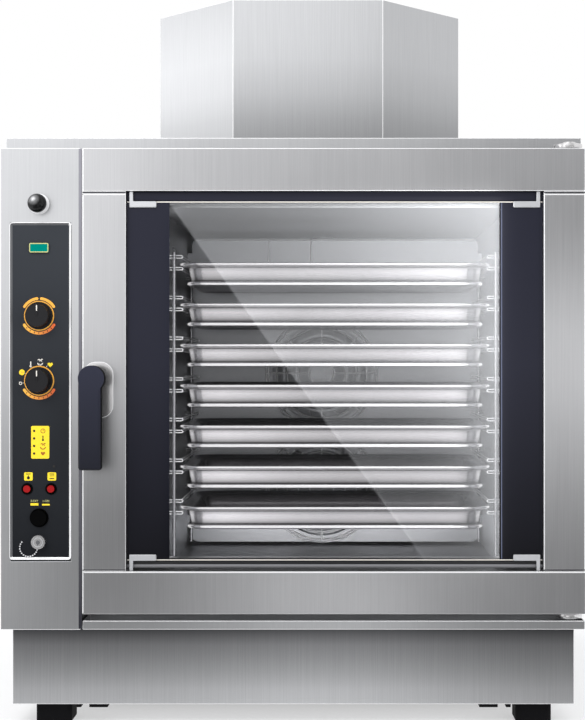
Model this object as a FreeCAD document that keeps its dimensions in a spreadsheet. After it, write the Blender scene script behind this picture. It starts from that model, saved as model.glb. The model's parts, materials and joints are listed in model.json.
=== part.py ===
import FreeCAD, Part
import math
import os
from types import SimpleNamespace

import Sketcher

doc = FreeCAD.newDocument("combi_oven")
sheet = doc.addObject("Spreadsheet::Sheet", "sizes")

# Driving dimensions, in millimetres, degrees and counts
SIZES = {
    # Cabinet
    "body_width": 930,
    "body_depth": 860,
    "sheet_wall": 2,
    "foot_height": 33,
    "foot_width": 58,
    "foot_inset_x": 63,
    "foot_inset_y": 46,
    "foot_corner": 8,
    "base_height": 125,
    "base_setback": 30,
    "base_side_inset": 13,
    "base_flange": 110,
    "lug_drop": 7,
    "lug_length": 30,
    "lug_offset": 74,
    "lug_tab": 8,
    "lug_tab_offset": 42,
    "column_width": 127,
    "column_height": 766,
    "cover_rise": 22,
    "cover_setback": 40,
    "cover_clearance": 2,
    "louvre_length": 150,
    "louvre_left": 45,
    "louvre_right": 135,
    "louvre_height": 10,
    "louvre_pitch": 34,
    "louvre_count": 7,
    "rear_projection": 30,
    # Flue
    "chimney_top": 1279,
    "chimney_width": 604,
    "chimney_front_width": 288,
    "chimney_rear_gap": 30,
    "chimney_depth": 330,
    "chimney_shift": 15,
    "flue_radius": 22,
    "flue_wall": 2,
    "flue_top_gap": 40,
    "draught_opening": 160,
    # Cavity
    "cavity_shift": 67,
    "cavity_margin": 354,
    "cavity_lift": 67,
    "cavity_head": 155,
    "service_depth": 170,
    "insulation_wall": 42,
    "baffle_gap": 130,
    "baffle_side_gap": 8,
    "baffle_top_gap": 12,
    "baffle_bottom_gap": 6,
    "baffle_corner": 12,
    "baffle_tab": 24,
    "baffle_tab_inset": 40,
    "gasket_width": 14,
    "gasket_margin": 6,
    "fit_gap": 0.3,
    # Fans
    "fan_shift": -26,
    "fan_lower_rise": 114,
    "fan_pitch": 222,
    "guard_slot": 20,
    "guard_ring": 4,
    "guard_inner": 28,
    "guard_spoke": 5,
    "guard_rings": 3,
    "wheel_radius": 95,
    "wheel_depth": 62,
    "wheel_gap": 18,
    "wheel_plate": 3,
    "wheel_ring": 8,
    "blade_count": 20,
    "blade_length": 26,
    "blade_wall": 2,
    "blade_slant": 35,
    "hub_radius": 22,
    "shaft_radius": 8,
    "motor_radius": 58,
    "motor_length": 96,
    "motor_flange": 76,
    # Heating, water and drain
    "exchanger_radius": 16,
    "exchanger_reach": 126,
    "exchanger_gap": 25.6,
    "exchanger_lift": 32,
    "exchanger_top_rise": 500,
    "burner_width": 110,
    "burner_height": 90,
    "burner_depth": 80,
    "gas_radius": 13.3,
    "valve_width": 60,
    "valve_depth": 32,
    "water_radius": 13.2,
    "water_inset": 48,
    "water_rise": 430,
    "injector_radius": 5,
    "water_block": 50,
    "injector_reach": 110,
    "drain_radius": 20,
    "drain_wall": 2,
    "drain_setback": 330,
    "drain_outlet_rise": 62,
    "gland_radius": 15,
    "gland_bore": 7.5,
    "gland_tail": 12,
    "gland_front": 18,
    "shoulder": 2.5,
    "gland_rise": 300,
    "gland_inset": 65,
    # Racks and trays
    "tray_count": 7,
    "tray_head": 81,
    "tray_foot": 110,
    "tray_side_gap": 23,
    "tray_length": 325,
    "tray_height": 40,
    "tray_rear_gap": 45,
    "tray_rim": 7.7,
    "tray_lip": 10,
    "tray_taper": 7,
    "tray_wall": 1.6,
    "tray_corner": 22,
    "bead_height": 7,
    "bead_reach": 6,
    "wire_radius": 3,
    "post_radius": 3.5,
    "runner_overlap": 3.5,
    "post_gap": 11,
    "upper_runner_rise": 9.5,
    "rack_head": 8,
    "rack_foot": 12,
    "rack_front_gap": 6,
    # Door
    "door_gap": 3.3,
    "door_lift": 25,
    "door_thickness": 62,
    "door_clearance": 8,
    "rail_height": 68,
    "left_stile": 69,
    "right_stile": 66,
    "seam_gap": 0.4,
    "glass_setback": 8,
    "glass_wall": 6,
    "glass_gap": 16,
    "inner_glass_wall": 5,
    "inner_frame_depth": 20,
    "window_side": 50,
    "window_corner": 12,
    "clip_length": 43,
    "clip_height": 10,
    "clip_wall": 4,
    "clip_inset": 5,
    "clip_stem": 6,
    "hinge_inset": 22,
    "hinge_setback": 25,
    "hinge_plate": 8,
    "hinge_pin": 6,
    "hinge_reach": 21,
    "hinge_bump": 3.5,
    "bush_radius": 9,
    "bush_length": 24,
    "drip_height": 14,
    # Handle
    "handle_inset": 22,
    "handle_rise": 375,
    "handle_projection": 52,
    "handle_boss": 20.5,
    "handle_neck": 14.35,
    "handle_stem": 36,
    "handle_drop": 143,
    "handle_wall": 18,
    "escutcheon_width": 48,
    "escutcheon_drop": 63,
    "escutcheon_rise": 26,
    "escutcheon_wall": 3,
    "escutcheon_corner": 20,
    "spindle_radius": 7,
    "latch_reach": 20,
    "latch_width": 14,
    "latch_wall": 8,
    "latch_gap": 3,
    # Controls
    "fascia_left": 16,
    "fascia_width": 96,
    "fascia_rise": 109,
    "fascia_head": 119,
    "fascia_wall": 3,
    "fascia_lap": 6,
    "control_shift": 61.2,
    "regulator_share": 0.7257,
    "selector_share": 0.5335,
    "knob_radius": 19,
    "knob_height": 20,
    "knob_skirt": 22,
    "knob_skirt_height": 3,
    "knob_shaft": 3,
    "pointer_width": 3,
    "pointer_length": 15.2,
    "pointer_rise": 1,
    "button_share": 0.2138,
    "button_spread": 19,
    "button_radius": 5.7,
    "button_height": 4,
    "power_share": 0.1283,
    "power_radius": 12.5,
    "power_height": 6,
    "lens_width": 30,
    "lens_height": 14.5,
    "lens_wall": 3,
    "lens_share": 0.9266,
    "probe_share": 0.0576,
    "probe_radius": 11,
    "probe_height": 9,
    "probe_socket": 7,
    "chain_radius": 14,
    "chain_shift": -16.5,
    "chain_drop": 9.5,
    "chain_bead": 1.6,
    "chain_wire": 0.5,
    "chain_beads": 10,
    "ball_drop": 89,
    "ball_radius": 15,
    "vent_rod": 5,
    "board_setback": 45,
    "board_wall": 2,
    "switch_width": 26,
    "vent_width": 60,
    "vent_height": 30,
    "vent_setback": 300,
    "vent_clearance": 25,
    "vent_flange": 37,
}

for row, (alias, value) in enumerate(SIZES.items(), 1):
    sheet.set(f"A{row}", alias)
    sheet.set(f"B{row}", str(value))
    sheet.setAlias(f"B{row}", alias)
doc.recompute()


class Size:
    """A value that keeps the spreadsheet expression it comes from."""

    def __init__(self, value, text):
        self.value = value
        self.text = text

    def __add__(self, other):
        other = as_size(other)
        return Size(self.value + other.value, f"({self.text} + {other.text})")

    def __sub__(self, other):
        other = as_size(other)
        return Size(self.value - other.value, f"({self.text} - {other.text})")

    def __mul__(self, other):
        other = as_size(other)
        return Size(self.value * other.value, f"({self.text} * {other.text})")

    def __truediv__(self, other):
        other = as_size(other)
        return Size(self.value / other.value, f"({self.text} / {other.text})")

    def __neg__(self):
        return self * -1

    def __radd__(self, other):
        return as_size(other) + self

    def __rsub__(self, other):
        return as_size(other) - self

    def __rmul__(self, other):
        return as_size(other) * self


def as_size(value):
    if isinstance(value, Size):
        return value
    return Size(value, f"({value})")


d = SimpleNamespace(**{name: Size(float(sheet.get(name)), f"sizes.{name}") for name in SIZES})

# Turns that bring the +Z axis of a primitive onto another axis
TURNS = {
    "X": FreeCAD.Rotation(FreeCAD.Vector(0, 1, 0), 90),
    "Y": FreeCAD.Rotation(FreeCAD.Vector(1, 0, 0), -90),
    "Z": FreeCAD.Rotation(),
}
AXES = {
    "X": FreeCAD.Vector(1, 0, 0),
    "Y": FreeCAD.Vector(0, 1, 0),
    "Z": FreeCAD.Vector(0, 0, 1),
}
sub_parts = []


def bind(item, prop, value):
    item.setExpression(prop, as_size(value).text)


def place(item, x, y, z):
    bind(item, "Placement.Base.x", x)
    bind(item, "Placement.Base.y", y)
    bind(item, "Placement.Base.z", z)
    return item


def part(label, item):
    """Register a finished document object as one sub-part."""
    item.Label = label
    sub_parts.append(item)
    return item


def box(x, y, z):
    """A block between two faces on each axis, given as (low, high) pairs."""
    item = doc.addObject("Part::Box", "block")
    for prop, (low, high) in zip(("Length", "Width", "Height"), (x, y, z)):
        bind(item, prop, as_size(high) - low)
    return place(item, x[0], y[0], z[0])


def rod(radius, axis, start, length):
    """A round bar that runs from its start point along +X, +Y or +Z."""
    item = doc.addObject("Part::Cylinder", "rod")
    bind(item, "Radius", radius)
    bind(item, "Height", length)
    item.Placement.Rotation = TURNS[axis]
    return place(item, *start)


def wire(radius, axis, start, length, sides=6):
    """A thin bar with a few flat sides in place of a round section."""
    item = doc.addObject("Part::Prism", "wire")
    item.Polygon = sides
    bind(item, "Circumradius", radius)
    bind(item, "Height", length)
    item.Placement.Rotation = TURNS[axis]
    return place(item, *start)


def ball(radius, centre):
    item = doc.addObject("Part::Sphere", "ball")
    bind(item, "Radius", radius)
    return place(item, *centre)


def compound(items):
    item = doc.addObject("Part::Compound", "group")
    item.Links = list(items)
    return item


def cut(base, *tools):
    item = doc.addObject("Part::Cut", "cut")
    item.Base = base
    item.Tool = tools[0] if len(tools) == 1 else compound(tools)
    return item


def fuse(*items):
    item = doc.addObject("Part::MultiFuse", "fusion")
    item.Shapes = list(items)
    return item


def new_body(name):
    return doc.addObject("PartDesign::Body", name)


def new_sketch(body, plane, offset=0):
    """A sketch on one of the body's own origin planes, moved along its normal."""
    sketch = body.newObject("Sketcher::SketchObject", "sketch")
    support = next(item for item in body.Origin.OriginFeatures if item.Role == f"{plane}_Plane")
    sketch.AttachmentSupport = [(support, "")]
    sketch.MapMode = "FlatFace"
    bind(sketch, "AttachmentOffset.Base.z", offset)
    return sketch


def fix_point(sketch, index, corner, point):
    """Tie one end of a sketch line or arc to named sizes."""
    for kind, value in zip(("DistanceX", "DistanceY"), point):
        value = as_size(value)
        order = sketch.addConstraint(Sketcher.Constraint(kind, -1, 1, index, corner, value.value))
        sketch.setExpression(f"Constraints[{order}]", value.text)


def add_outline(sketch, points):
    """A closed outline of straight edges through the given points."""
    flat = [FreeCAD.Vector(as_size(x).value, as_size(y).value, 0) for x, y in points]
    first = sketch.GeometryCount
    count = len(flat)
    for order in range(count):
        sketch.addGeometry(Part.LineSegment(flat[order], flat[(order + 1) % count]), False)
    for order in range(count):
        following = first + (order + 1) % count
        sketch.addConstraint(Sketcher.Constraint("Coincident", first + order, 2, following, 1))
        fix_point(sketch, first + order, 1, points[order])


def add_circle(sketch, radius, centre=(0, 0)):
    x, y = (as_size(value).value for value in centre)
    shape = Part.Circle(FreeCAD.Vector(x, y, 0), AXES["Z"], as_size(radius).value)
    index = sketch.addGeometry(shape, False)
    if centre == (0, 0):
        sketch.addConstraint(Sketcher.Constraint("Coincident", index, 3, -1, 1))
    else:
        fix_point(sketch, index, 3, centre)
    order = sketch.addConstraint(Sketcher.Constraint("Radius", index, as_size(radius).value))
    bind(sketch, f"Constraints[{order}]", radius)


def pad(body, sketch, length, taper=None, reverse=False):
    feature = body.newObject("PartDesign::Pad", "pad")
    feature.Profile = sketch
    feature.Reversed = reverse
    bind(feature, "Length", length)
    if taper is not None:
        bind(feature, "TaperAngle", taper)
    return feature


def pocket(body, sketch, length, taper=None, reverse=False):
    feature = body.newObject("PartDesign::Pocket", "pocket")
    feature.Profile = sketch
    feature.Reversed = reverse
    bind(feature, "Length", length)
    if taper is not None:
        bind(feature, "TaperAngle", taper)
    return feature


def prism(plane, span, points):
    """A body padded from one outline between two places on the plane's axis."""
    low, high = span
    body = new_body("body")
    offset = -as_size(high) if plane == "XZ" else low
    sketch = new_sketch(body, plane, offset)
    add_outline(sketch, points)
    pad(body, sketch, as_size(high) - low)
    return body


def rectangle(x, y):
    return [(x[0], y[0]), (x[1], y[0]), (x[1], y[1]), (x[0], y[1])]


def along(axis):
    """Choose straight edges that run along one axis."""
    def chosen(edge):
        if edge.Curve.TypeId != "Part::GeomLine":
            return False
        return edge.tangentAt(edge.FirstParameter).cross(AXES[axis]).Length < 1e-6
    return chosen


def round_edges(body, radius, chosen):
    doc.recompute()
    tip = body.Tip
    names = [f"Edge{order}" for order, edge in enumerate(tip.Shape.Edges, 1) if chosen(edge)]
    fillet = body.newObject("PartDesign::Fillet", "fillet")
    fillet.Base = (tip, names)
    bind(fillet, "Radius", radius)
    return body


def rounded_block(x, y, z, axis, radius):
    """A block whose four edges along one axis are rounded."""
    plane, span, outline = {
        "X": ("YZ", x, rectangle(y, z)),
        "Y": ("XZ", y, rectangle(x, z)),
        "Z": ("XY", z, rectangle(x, y)),
    }[axis]
    return round_edges(prism(plane, span, outline), radius, along(axis))


def cosine(angle):
    return Size(math.cos(math.radians(angle.value)), f"cos({angle.text})")


def sine(angle):
    return Size(math.sin(math.radians(angle.value)), f"sin({angle.text})")


def arctangent(ratio):
    return Size(math.degrees(math.atan(ratio.value)), f"atan({ratio.text})")


# Main places: +X to the right, +Y to the back, +Z up, origin on the floor below the middle
half_width = d.body_width / 2
door_face = (d.handle_projection - d.body_depth - d.rear_projection) / 2


def deep(value):
    """A place on the Y axis, measured back from the face of the door."""
    return door_face + value


left = -half_width
right = half_width
rear_face = deep(d.body_depth)
rear_end = rear_face + d.rear_projection
column_right = left + d.column_width
base_top = d.foot_height + d.base_height
column_top = base_top + d.column_height
cover_top = column_top + d.cover_rise
cover_under = cover_top - d.sheet_wall
frame_plane = deep(d.door_thickness + d.door_clearance)
frame_back = frame_plane + d.sheet_wall

cavity_width = d.body_width - d.cavity_margin
cavity_height = d.column_height - d.cavity_head
cavity_depth = d.body_depth - d.service_depth
cavity_x = d.cavity_shift
cavity_left = cavity_x - cavity_width / 2
cavity_right = cavity_x + cavity_width / 2
cavity_floor = base_top + d.cavity_lift
cavity_ceiling = cavity_floor + cavity_height
cavity_rear = deep(cavity_depth)
liner_rear = cavity_rear + d.sheet_wall
jacket_rear = liner_rear + d.insulation_wall
jacket_left = cavity_left - d.sheet_wall - d.insulation_wall
jacket_right = cavity_right + d.sheet_wall + d.insulation_wall

chimney_front = rear_face - d.chimney_rear_gap - d.chimney_depth

fan_x = cavity_x + d.fan_shift
fan_lower_z = cavity_floor + d.fan_lower_rise
fan_heights = {"lower": fan_lower_z, "upper": fan_lower_z + d.fan_pitch}
baffle_front = cavity_rear - d.baffle_gap
baffle_rear = baffle_front + d.sheet_wall
wheel_front = baffle_rear + d.wheel_gap

exchanger_y = cavity_rear - d.exchanger_gap
exchanger_low = cavity_floor + d.exchanger_lift
exchanger_high = cavity_floor + d.exchanger_top_rise
burner_x = fan_x - d.exchanger_reach
drain_y = deep(d.drain_setback)
drain_z = d.foot_height + d.drain_outlet_rise
water_x = cavity_left + d.water_inset
water_z = cavity_floor + d.water_rise
gland_x = left + d.gland_inset
gland_z = base_top + d.gland_rise

tray_width = cavity_width - d.tray_side_gap * 2
tray_front = baffle_front - d.tray_rear_gap - d.tray_length
tray_high = cavity_ceiling - d.tray_head
tray_pitch = (tray_high - cavity_floor - d.tray_foot) / (d.tray_count - 1)
runner_reach = tray_width / 2 - d.runner_overlap
post_reach = cavity_width / 2 - d.post_gap

# Each connection has a shoulder outside its panel and a thinner run inside
drain_run = d.drain_radius - d.shoulder
gas_run = d.gas_radius - d.shoulder
water_run = d.water_radius - d.shoulder
gland_run = d.gland_radius - d.shoulder * 2

door_left = column_right + d.door_gap
door_bottom = base_top + d.door_lift
door_top = column_top
door_rear = deep(d.door_thickness)
inner_frame_front = door_rear - d.inner_frame_depth
glass_left = door_left + d.left_stile
glass_right = right - d.right_stile
rail_low = door_bottom + d.rail_height
rail_high = door_top - d.rail_height
glass_low = rail_low + d.glass_gap
glass_high = rail_high - d.glass_gap
hinge_x = right - d.hinge_inset
hinge_y = deep(d.hinge_setback)
handle_x = door_left + d.handle_inset
handle_z = door_bottom + d.handle_rise

control_x = left + d.control_shift
fascia_face = deep(d.sheet_wall)
fascia_back = fascia_face + d.fascia_wall
fascia_x = (left + d.fascia_left, left + d.fascia_left + d.fascia_width)
fascia_z = (base_top + d.fascia_rise, column_top - d.fascia_head)
ball_z = column_top - d.ball_drop


def fascia_level(share):
    """The height of a control, as a share of the fascia's height."""
    return fascia_z[0] + (fascia_z[1] - fascia_z[0]) * share


vent_y = deep(d.vent_setback)
vent_z = ball_z - d.vent_width
gate_x = jacket_left - d.vent_height / 2


def both_sides(make):
    """Two mirror-image pieces, one on each side of the middle."""
    return [make(side) for side in (-1, 1)]


def span_about(centre, half):
    return (centre - half, centre + half)


def tube(radius, wall, axis, start, length):
    return cut(rod(radius, axis, start, length), rod(radius - wall, axis, start, length))


def opening_for(radius, axis, start, length):
    """The cutter of a hole that clears a round piece by the common gap."""
    return rod(radius + d.fit_gap, axis, start, length)


def base_plinth():
    half = half_width - d.base_side_inset
    front = deep(d.base_setback)
    inner = half - d.sheet_wall
    service = half - d.base_flange
    shell = cut(
        box((-half, half), (front, rear_face), (d.foot_height, base_top)),
        box(
            (-inner, inner),
            (front + d.sheet_wall, rear_face - d.sheet_wall),
            (d.foot_height + d.sheet_wall, base_top - d.sheet_wall),
        ),
        box(
            (-service, service),
            (front + d.base_flange, rear_face - d.base_flange),
            (d.foot_height, d.foot_height + d.sheet_wall),
        ),
        opening_for(drain_run, "Z", (cavity_x, drain_y, base_top - d.sheet_wall), d.sheet_wall),
        opening_for(drain_run, "Y", (cavity_x, rear_face - d.sheet_wall, drain_z), d.sheet_wall),
    )
    lugs = []
    foot_x = half - d.foot_inset_x
    lug_z = (d.foot_height - d.lug_drop, d.foot_height)
    lug_y = (front + d.lug_tab, front + d.lug_tab + d.lug_length)
    for side in (-1, 1):
        for offset, length in ((d.lug_offset, d.lug_length), (d.lug_tab_offset, d.lug_tab)):
            lugs.append(box(span_about((foot_x - offset) * side, length / 2), lug_y, lug_z))
    return part("base_plinth", fuse(shell, *lugs))


def feet():
    half = d.foot_width / 2
    across = half_width - d.base_side_inset - d.foot_inset_x
    front = deep(d.base_setback) + d.foot_inset_y
    back = rear_face - d.foot_inset_y
    pads = []
    for side in (-1, 1):
        for y in (front, back):
            pads.append(rounded_block(
                span_about(across * side, half),
                span_about(y, half),
                (0, d.foot_height),
                "Z",
                d.foot_corner,
            ))
    return part("feet", compound(pads))


def side_panel(label, x):
    return part(label, box(x, (frame_plane, rear_face - d.sheet_wall), (base_top, cover_under)))


def rear_panel():
    panel_y = (rear_face - d.sheet_wall, rear_face)
    panel = box((left, right), panel_y, (base_top, cover_under))
    tools = [
        opening_for(gas_run, "Y", (burner_x, panel_y[0], exchanger_low), d.sheet_wall),
        opening_for(water_run, "Y", (water_x, panel_y[0], water_z), d.sheet_wall),
        opening_for(gland_run, "Y", (gland_x, panel_y[0], gland_z), d.sheet_wall),
    ]
    for order in range(int(d.louvre_count.value)):
        low = fan_heights["upper"] + d.louvre_pitch * (order - 2)
        for x in (fan_x - d.louvre_left, fan_x + d.louvre_right):
            span = span_about(x, d.louvre_length / 2)
            tools.append(box(span, panel_y, (low, low + d.louvre_height)))
    return part("rear_panel", cut(panel, *tools))


def top_cover():
    low = column_top + d.cover_clearance
    front = deep(d.cover_setback)
    inner = half_width - d.sheet_wall
    notch_left = hinge_x - d.hinge_reach - d.fit_gap
    notch_top = column_top + d.hinge_plate + d.cover_clearance
    draught_half = d.draught_opening / 2
    cover = cut(
        box((left, right), (front, rear_face), (low, cover_top)),
        box((-inner, inner), (front + d.sheet_wall, rear_face), (low, cover_under)),
        box((left, right), (frame_plane, rear_face), (low, cover_under)),
        box((notch_left, right), (front, frame_plane), (low, notch_top)),
        box(span_about(fan_x, draught_half), span_about(exchanger_y, draught_half), (cover_under, cover_top)),
        box(
            span_about(gate_x - d.vent_height, d.vent_height / 2 + d.vent_clearance),
            span_about(vent_y, d.vent_width / 2 + d.vent_clearance),
            (cover_under, cover_top),
        ),
    )
    return part("top_cover", cover)


def chimney_outline(inset):
    """Plan of the flue casing: a flat front and two 45 degree corners."""
    bevel = inset * math.tan(math.radians(22.5))
    front_half = d.chimney_front_width / 2 - bevel
    half = d.chimney_width / 2 - inset
    front = chimney_front
    corner = front + (d.chimney_width - d.chimney_front_width) / 2 + bevel
    back = front + d.chimney_depth - inset
    x = d.chimney_shift
    return [
        (x - front_half, front + inset),
        (x + front_half, front + inset),
        (x + half, corner),
        (x + half, back),
        (x - half, back),
        (x - half, corner),
    ]


def flue_chimney():
    height = (cover_top, d.chimney_top)
    casing = prism("XY", height, chimney_outline(as_size(0)))
    return part("flue_chimney", cut(casing, prism("XY", height, chimney_outline(d.sheet_wall))))


def flue_pipe():
    low = exchanger_high + d.exchanger_radius
    length = d.chimney_top - d.flue_top_gap - low
    return part("flue_pipe", tube(d.flue_radius, d.flue_wall, "Z", (fan_x, exchanger_y, low), length))


def cavity_block(grow, y):
    """The space of the cavity, grown by one wall."""
    return box(
        (cavity_left - grow, cavity_right + grow),
        y,
        (cavity_floor - grow, cavity_ceiling + grow),
    )


def wall_openings():
    """Holes through the liner and its jacket for what passes into the cavity."""
    wall = d.sheet_wall + d.insulation_wall
    tools = [
        opening_for(d.shaft_radius, "Y", (fan_x, cavity_rear, z), wall) for z in fan_heights.values()
    ]
    tools.append(opening_for(d.exchanger_radius, "Y", (burner_x, cavity_rear, exchanger_low), wall))
    tools.append(opening_for(d.injector_radius, "Y", (water_x, cavity_rear, water_z), wall))
    tools.append(opening_for(d.flue_radius, "Z", (fan_x, exchanger_y, cavity_ceiling), wall))
    return tools


def duct_span(grow):
    half_wide = d.vent_width / 2 + grow
    half_high = d.vent_height / 2 + grow
    return span_about(vent_y, half_wide), span_about(vent_z, half_high)


def cavity_shell():
    outer = cavity_block(d.sheet_wall, (frame_back, liner_rear))
    vent = duct_span(-d.sheet_wall)
    liner = cut(
        outer,
        cavity_block(as_size(0), (frame_back, cavity_rear)),
        rod(drain_run - d.drain_wall, "Z", (cavity_x, drain_y, cavity_floor - d.sheet_wall), d.sheet_wall),
        box((cavity_left - d.sheet_wall, cavity_left), *vent),
        *wall_openings(),
    )
    part("cavity_liner", liner)
    grow = d.sheet_wall + d.insulation_wall
    low = cavity_floor - grow
    vent = duct_span(d.fit_gap)
    jacket = cut(
        box((jacket_left, jacket_right), (frame_back, jacket_rear), (low, cavity_ceiling + grow)),
        outer,
        opening_for(drain_run, "Z", (cavity_x, drain_y, low), grow),
        box((jacket_left, cavity_left), *vent),
        *wall_openings(),
    )
    return part("insulation", jacket)


def cavity_front_frame():
    frame_y = (frame_plane, frame_back)
    frame = cut(
        box((column_right - d.sheet_wall, right - d.sheet_wall), frame_y, (base_top, cover_under)),
        cavity_block(as_size(0), frame_y),
        rod(d.latch_reach + d.latch_gap, "Y", (handle_x, frame_plane, handle_z), d.sheet_wall),
    )
    return part("cavity_front_frame", frame)


def gasket_block(margin):
    return box(
        (cavity_left - margin, cavity_right + margin),
        (door_rear + d.fit_gap, frame_plane),
        (cavity_floor - margin, cavity_ceiling + margin),
    )


def door_gasket():
    outer = gasket_block(d.gasket_margin + d.gasket_width)
    return part("door_gasket", cut(outer, gasket_block(d.gasket_margin)))


def guard_openings(z):
    """Ring slots of one fan guard, left apart by the spokes."""
    centre = (fan_x, baffle_front, z)
    rings = []
    for order in range(int(d.guard_rings.value)):
        inner = d.guard_inner + (d.guard_slot + d.guard_ring) * order
        rings.append(tube(inner + d.guard_slot, d.guard_slot, "Y", centre, d.sheet_wall))
    reach = d.guard_inner + (d.guard_slot + d.guard_ring) * d.guard_rings
    spokes = []
    for angle in (0, 45, 90, 135):
        bar = rectangle((-reach, reach), span_about(as_size(0), d.guard_spoke / 2))
        spoke = prism("XZ", (0, d.sheet_wall), bar)
        spoke.Placement.Rotation = FreeCAD.Rotation(AXES["Y"], angle)
        spokes.append(place(spoke, *centre))
    return cut(compound(rings), compound(spokes))


def fan_baffle():
    x = (cavity_left + d.baffle_side_gap, cavity_right - d.baffle_side_gap)
    z = (cavity_floor + d.baffle_bottom_gap, cavity_ceiling - d.baffle_top_gap)
    plate = cut(
        rounded_block(x, (baffle_front, baffle_rear), z, "Y", d.baffle_corner),
        *[guard_openings(height) for height in fan_heights.values()],
    )
    tabs = [
        box(tab_x, (baffle_front, baffle_rear), span_about(tab_z, d.baffle_tab / 2))
        for tab_x in ((cavity_left, x[0] + d.baffle_tab), (x[1] - d.baffle_tab, cavity_right))
        for tab_z in (z[0] + d.baffle_tab_inset, z[1] - d.baffle_tab_inset)
    ]
    return part("fan_baffle", fuse(plate, *tabs))


def disc(body, radius, y, hole=None):
    """A round pad about the body's own Y axis, with an optional hole."""
    sketch = new_sketch(body, "XZ", -as_size(y[1]))
    add_circle(sketch, radius)
    if hole is not None:
        add_circle(sketch, hole)
    return pad(body, sketch, as_size(y[1]) - y[0])


def fan(name):
    """A wheel of slanted blades between a back plate and a front ring, on its shaft."""
    body = new_body("fan")
    depth = d.wheel_depth
    inner = d.wheel_radius - d.blade_length
    disc(body, d.wheel_radius, (depth - d.wheel_plate, depth))
    disc(body, d.hub_radius, (depth / 2, depth - d.wheel_plate))
    disc(body, d.shaft_radius, (depth, jacket_rear + d.motor_length / 2 - wheel_front))
    blade_sketch = new_sketch(body, "XZ", -(depth - d.wheel_plate))
    run = (d.blade_length - d.blade_wall) * cosine(d.blade_slant)
    rise = (d.blade_length - d.blade_wall) * sine(d.blade_slant)
    wall = d.blade_wall / 2
    add_outline(blade_sketch, [
        (inner, -rise / 2 - wall),
        (inner + run, rise / 2 - wall),
        (inner + run, rise / 2 + wall),
        (inner, -rise / 2 + wall),
    ])
    blade = pad(body, blade_sketch, depth - d.wheel_plate)
    pattern = body.newObject("PartDesign::PolarPattern", "blades")
    pattern.Originals = [blade]
    pattern.Axis = (blade_sketch, ["N_Axis"])
    pattern.Angle = 360
    bind(pattern, "Occurrences", d.blade_count)
    body.Tip = pattern
    disc(body, d.wheel_radius, (0, d.wheel_plate), d.wheel_radius - d.wheel_ring)
    return part(f"fan_{name}", place(body, fan_x, wheel_front, fan_heights[name]))


def fan_motors():
    motors = []
    for z in fan_heights.values():
        start = (fan_x, jacket_rear, z)
        motors.append(cut(
            fuse(
                rod(d.motor_flange, "Y", start, d.wheel_plate),
                rod(d.motor_radius, "Y", start, d.motor_length),
            ),
            opening_for(d.shaft_radius, "Y", start, d.motor_length / 2 + d.fit_gap),
        ))
    return part("fan_motors", compound(motors))


def heat_exchanger():
    """A ladder of fire tubes behind the fans, with its inlet through the back wall."""
    pieces = []
    for side in (-1, 1):
        x = fan_x + d.exchanger_reach * side
        for z in (exchanger_low, exchanger_high):
            pieces.append(ball(d.exchanger_radius, (x, exchanger_y, z)))
        pieces.append(rod(
            d.exchanger_radius, "Z", (x, exchanger_y, exchanger_low), exchanger_high - exchanger_low))
    for z in (exchanger_low, exchanger_high):
        start = (fan_x - d.exchanger_reach, exchanger_y, z)
        pieces.append(rod(d.exchanger_radius, "X", start, d.exchanger_reach * 2))
    inlet = (burner_x, exchanger_y, exchanger_low)
    pieces.append(rod(d.exchanger_radius, "Y", inlet, jacket_rear - exchanger_y))
    return part("heat_exchanger", fuse(*pieces))


def gas_burner():
    burner_rear = jacket_rear + d.burner_depth
    valve_rear = burner_rear + d.valve_depth
    valve_half = d.valve_width / 2
    pieces = [
        box(
            span_about(burner_x, d.burner_width / 2),
            (jacket_rear, burner_rear),
            span_about(exchanger_low, d.burner_height / 2),
        ),
        box(
            span_about(burner_x, valve_half),
            (burner_rear, valve_rear),
            span_about(exchanger_low, valve_half),
        ),
        rod(gas_run, "Y", (burner_x, valve_rear, exchanger_low), rear_face - valve_rear),
        rod(d.gas_radius, "Y", (burner_x, rear_face, exchanger_low), d.rear_projection),
    ]
    return part("gas_burner", fuse(*pieces))


def water_valve():
    half = d.water_block / 2
    panel_inside = rear_face - d.sheet_wall
    front = panel_inside - d.water_block
    nozzle = cavity_rear - d.injector_reach
    pieces = [
        box(span_about(water_x, half), (front, panel_inside), span_about(water_z, half)),
        rod(water_run, "Y", (water_x, panel_inside, water_z), d.sheet_wall),
        rod(d.water_radius, "Y", (water_x, rear_face, water_z), d.rear_projection),
        rod(d.injector_radius, "Y", (water_x, nozzle, water_z), front - nozzle),
    ]
    return part("water_valve", fuse(*pieces))


def drain_pipe():
    elbow = (cavity_x, drain_y, drain_z)
    drop = cavity_floor - d.sheet_wall - drain_z
    bore = drain_run - d.drain_wall
    outside = [
        rod(drain_run, "Z", elbow, drop),
        rod(drain_run, "Y", elbow, rear_face - drain_y),
        rod(d.drain_radius, "Y", (cavity_x, rear_face, drain_z), d.rear_projection),
        ball(drain_run, elbow),
    ]
    inside = [rod(bore, "Z", elbow, drop), rod(bore, "Y", elbow, rear_end - drain_y), ball(bore, elbow)]
    return part("drain_pipe", cut(fuse(*outside), fuse(*inside)))


def cable_gland():
    start = rear_face - d.gland_tail
    gland = cut(
        fuse(
            rod(gland_run, "Y", (gland_x, start, gland_z), d.gland_tail),
            wire(d.gland_radius, "Y", (gland_x, rear_face, gland_z), d.gland_tail),
            rod(gland_run, "Y", (gland_x, rear_face, gland_z), d.gland_front),
        ),
        rod(d.gland_bore, "Y", (gland_x, start, gland_z), d.gland_tail + d.gland_front),
    )
    return part("cable_gland", gland)


def tray_top(order):
    return tray_high - tray_pitch * order


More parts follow.
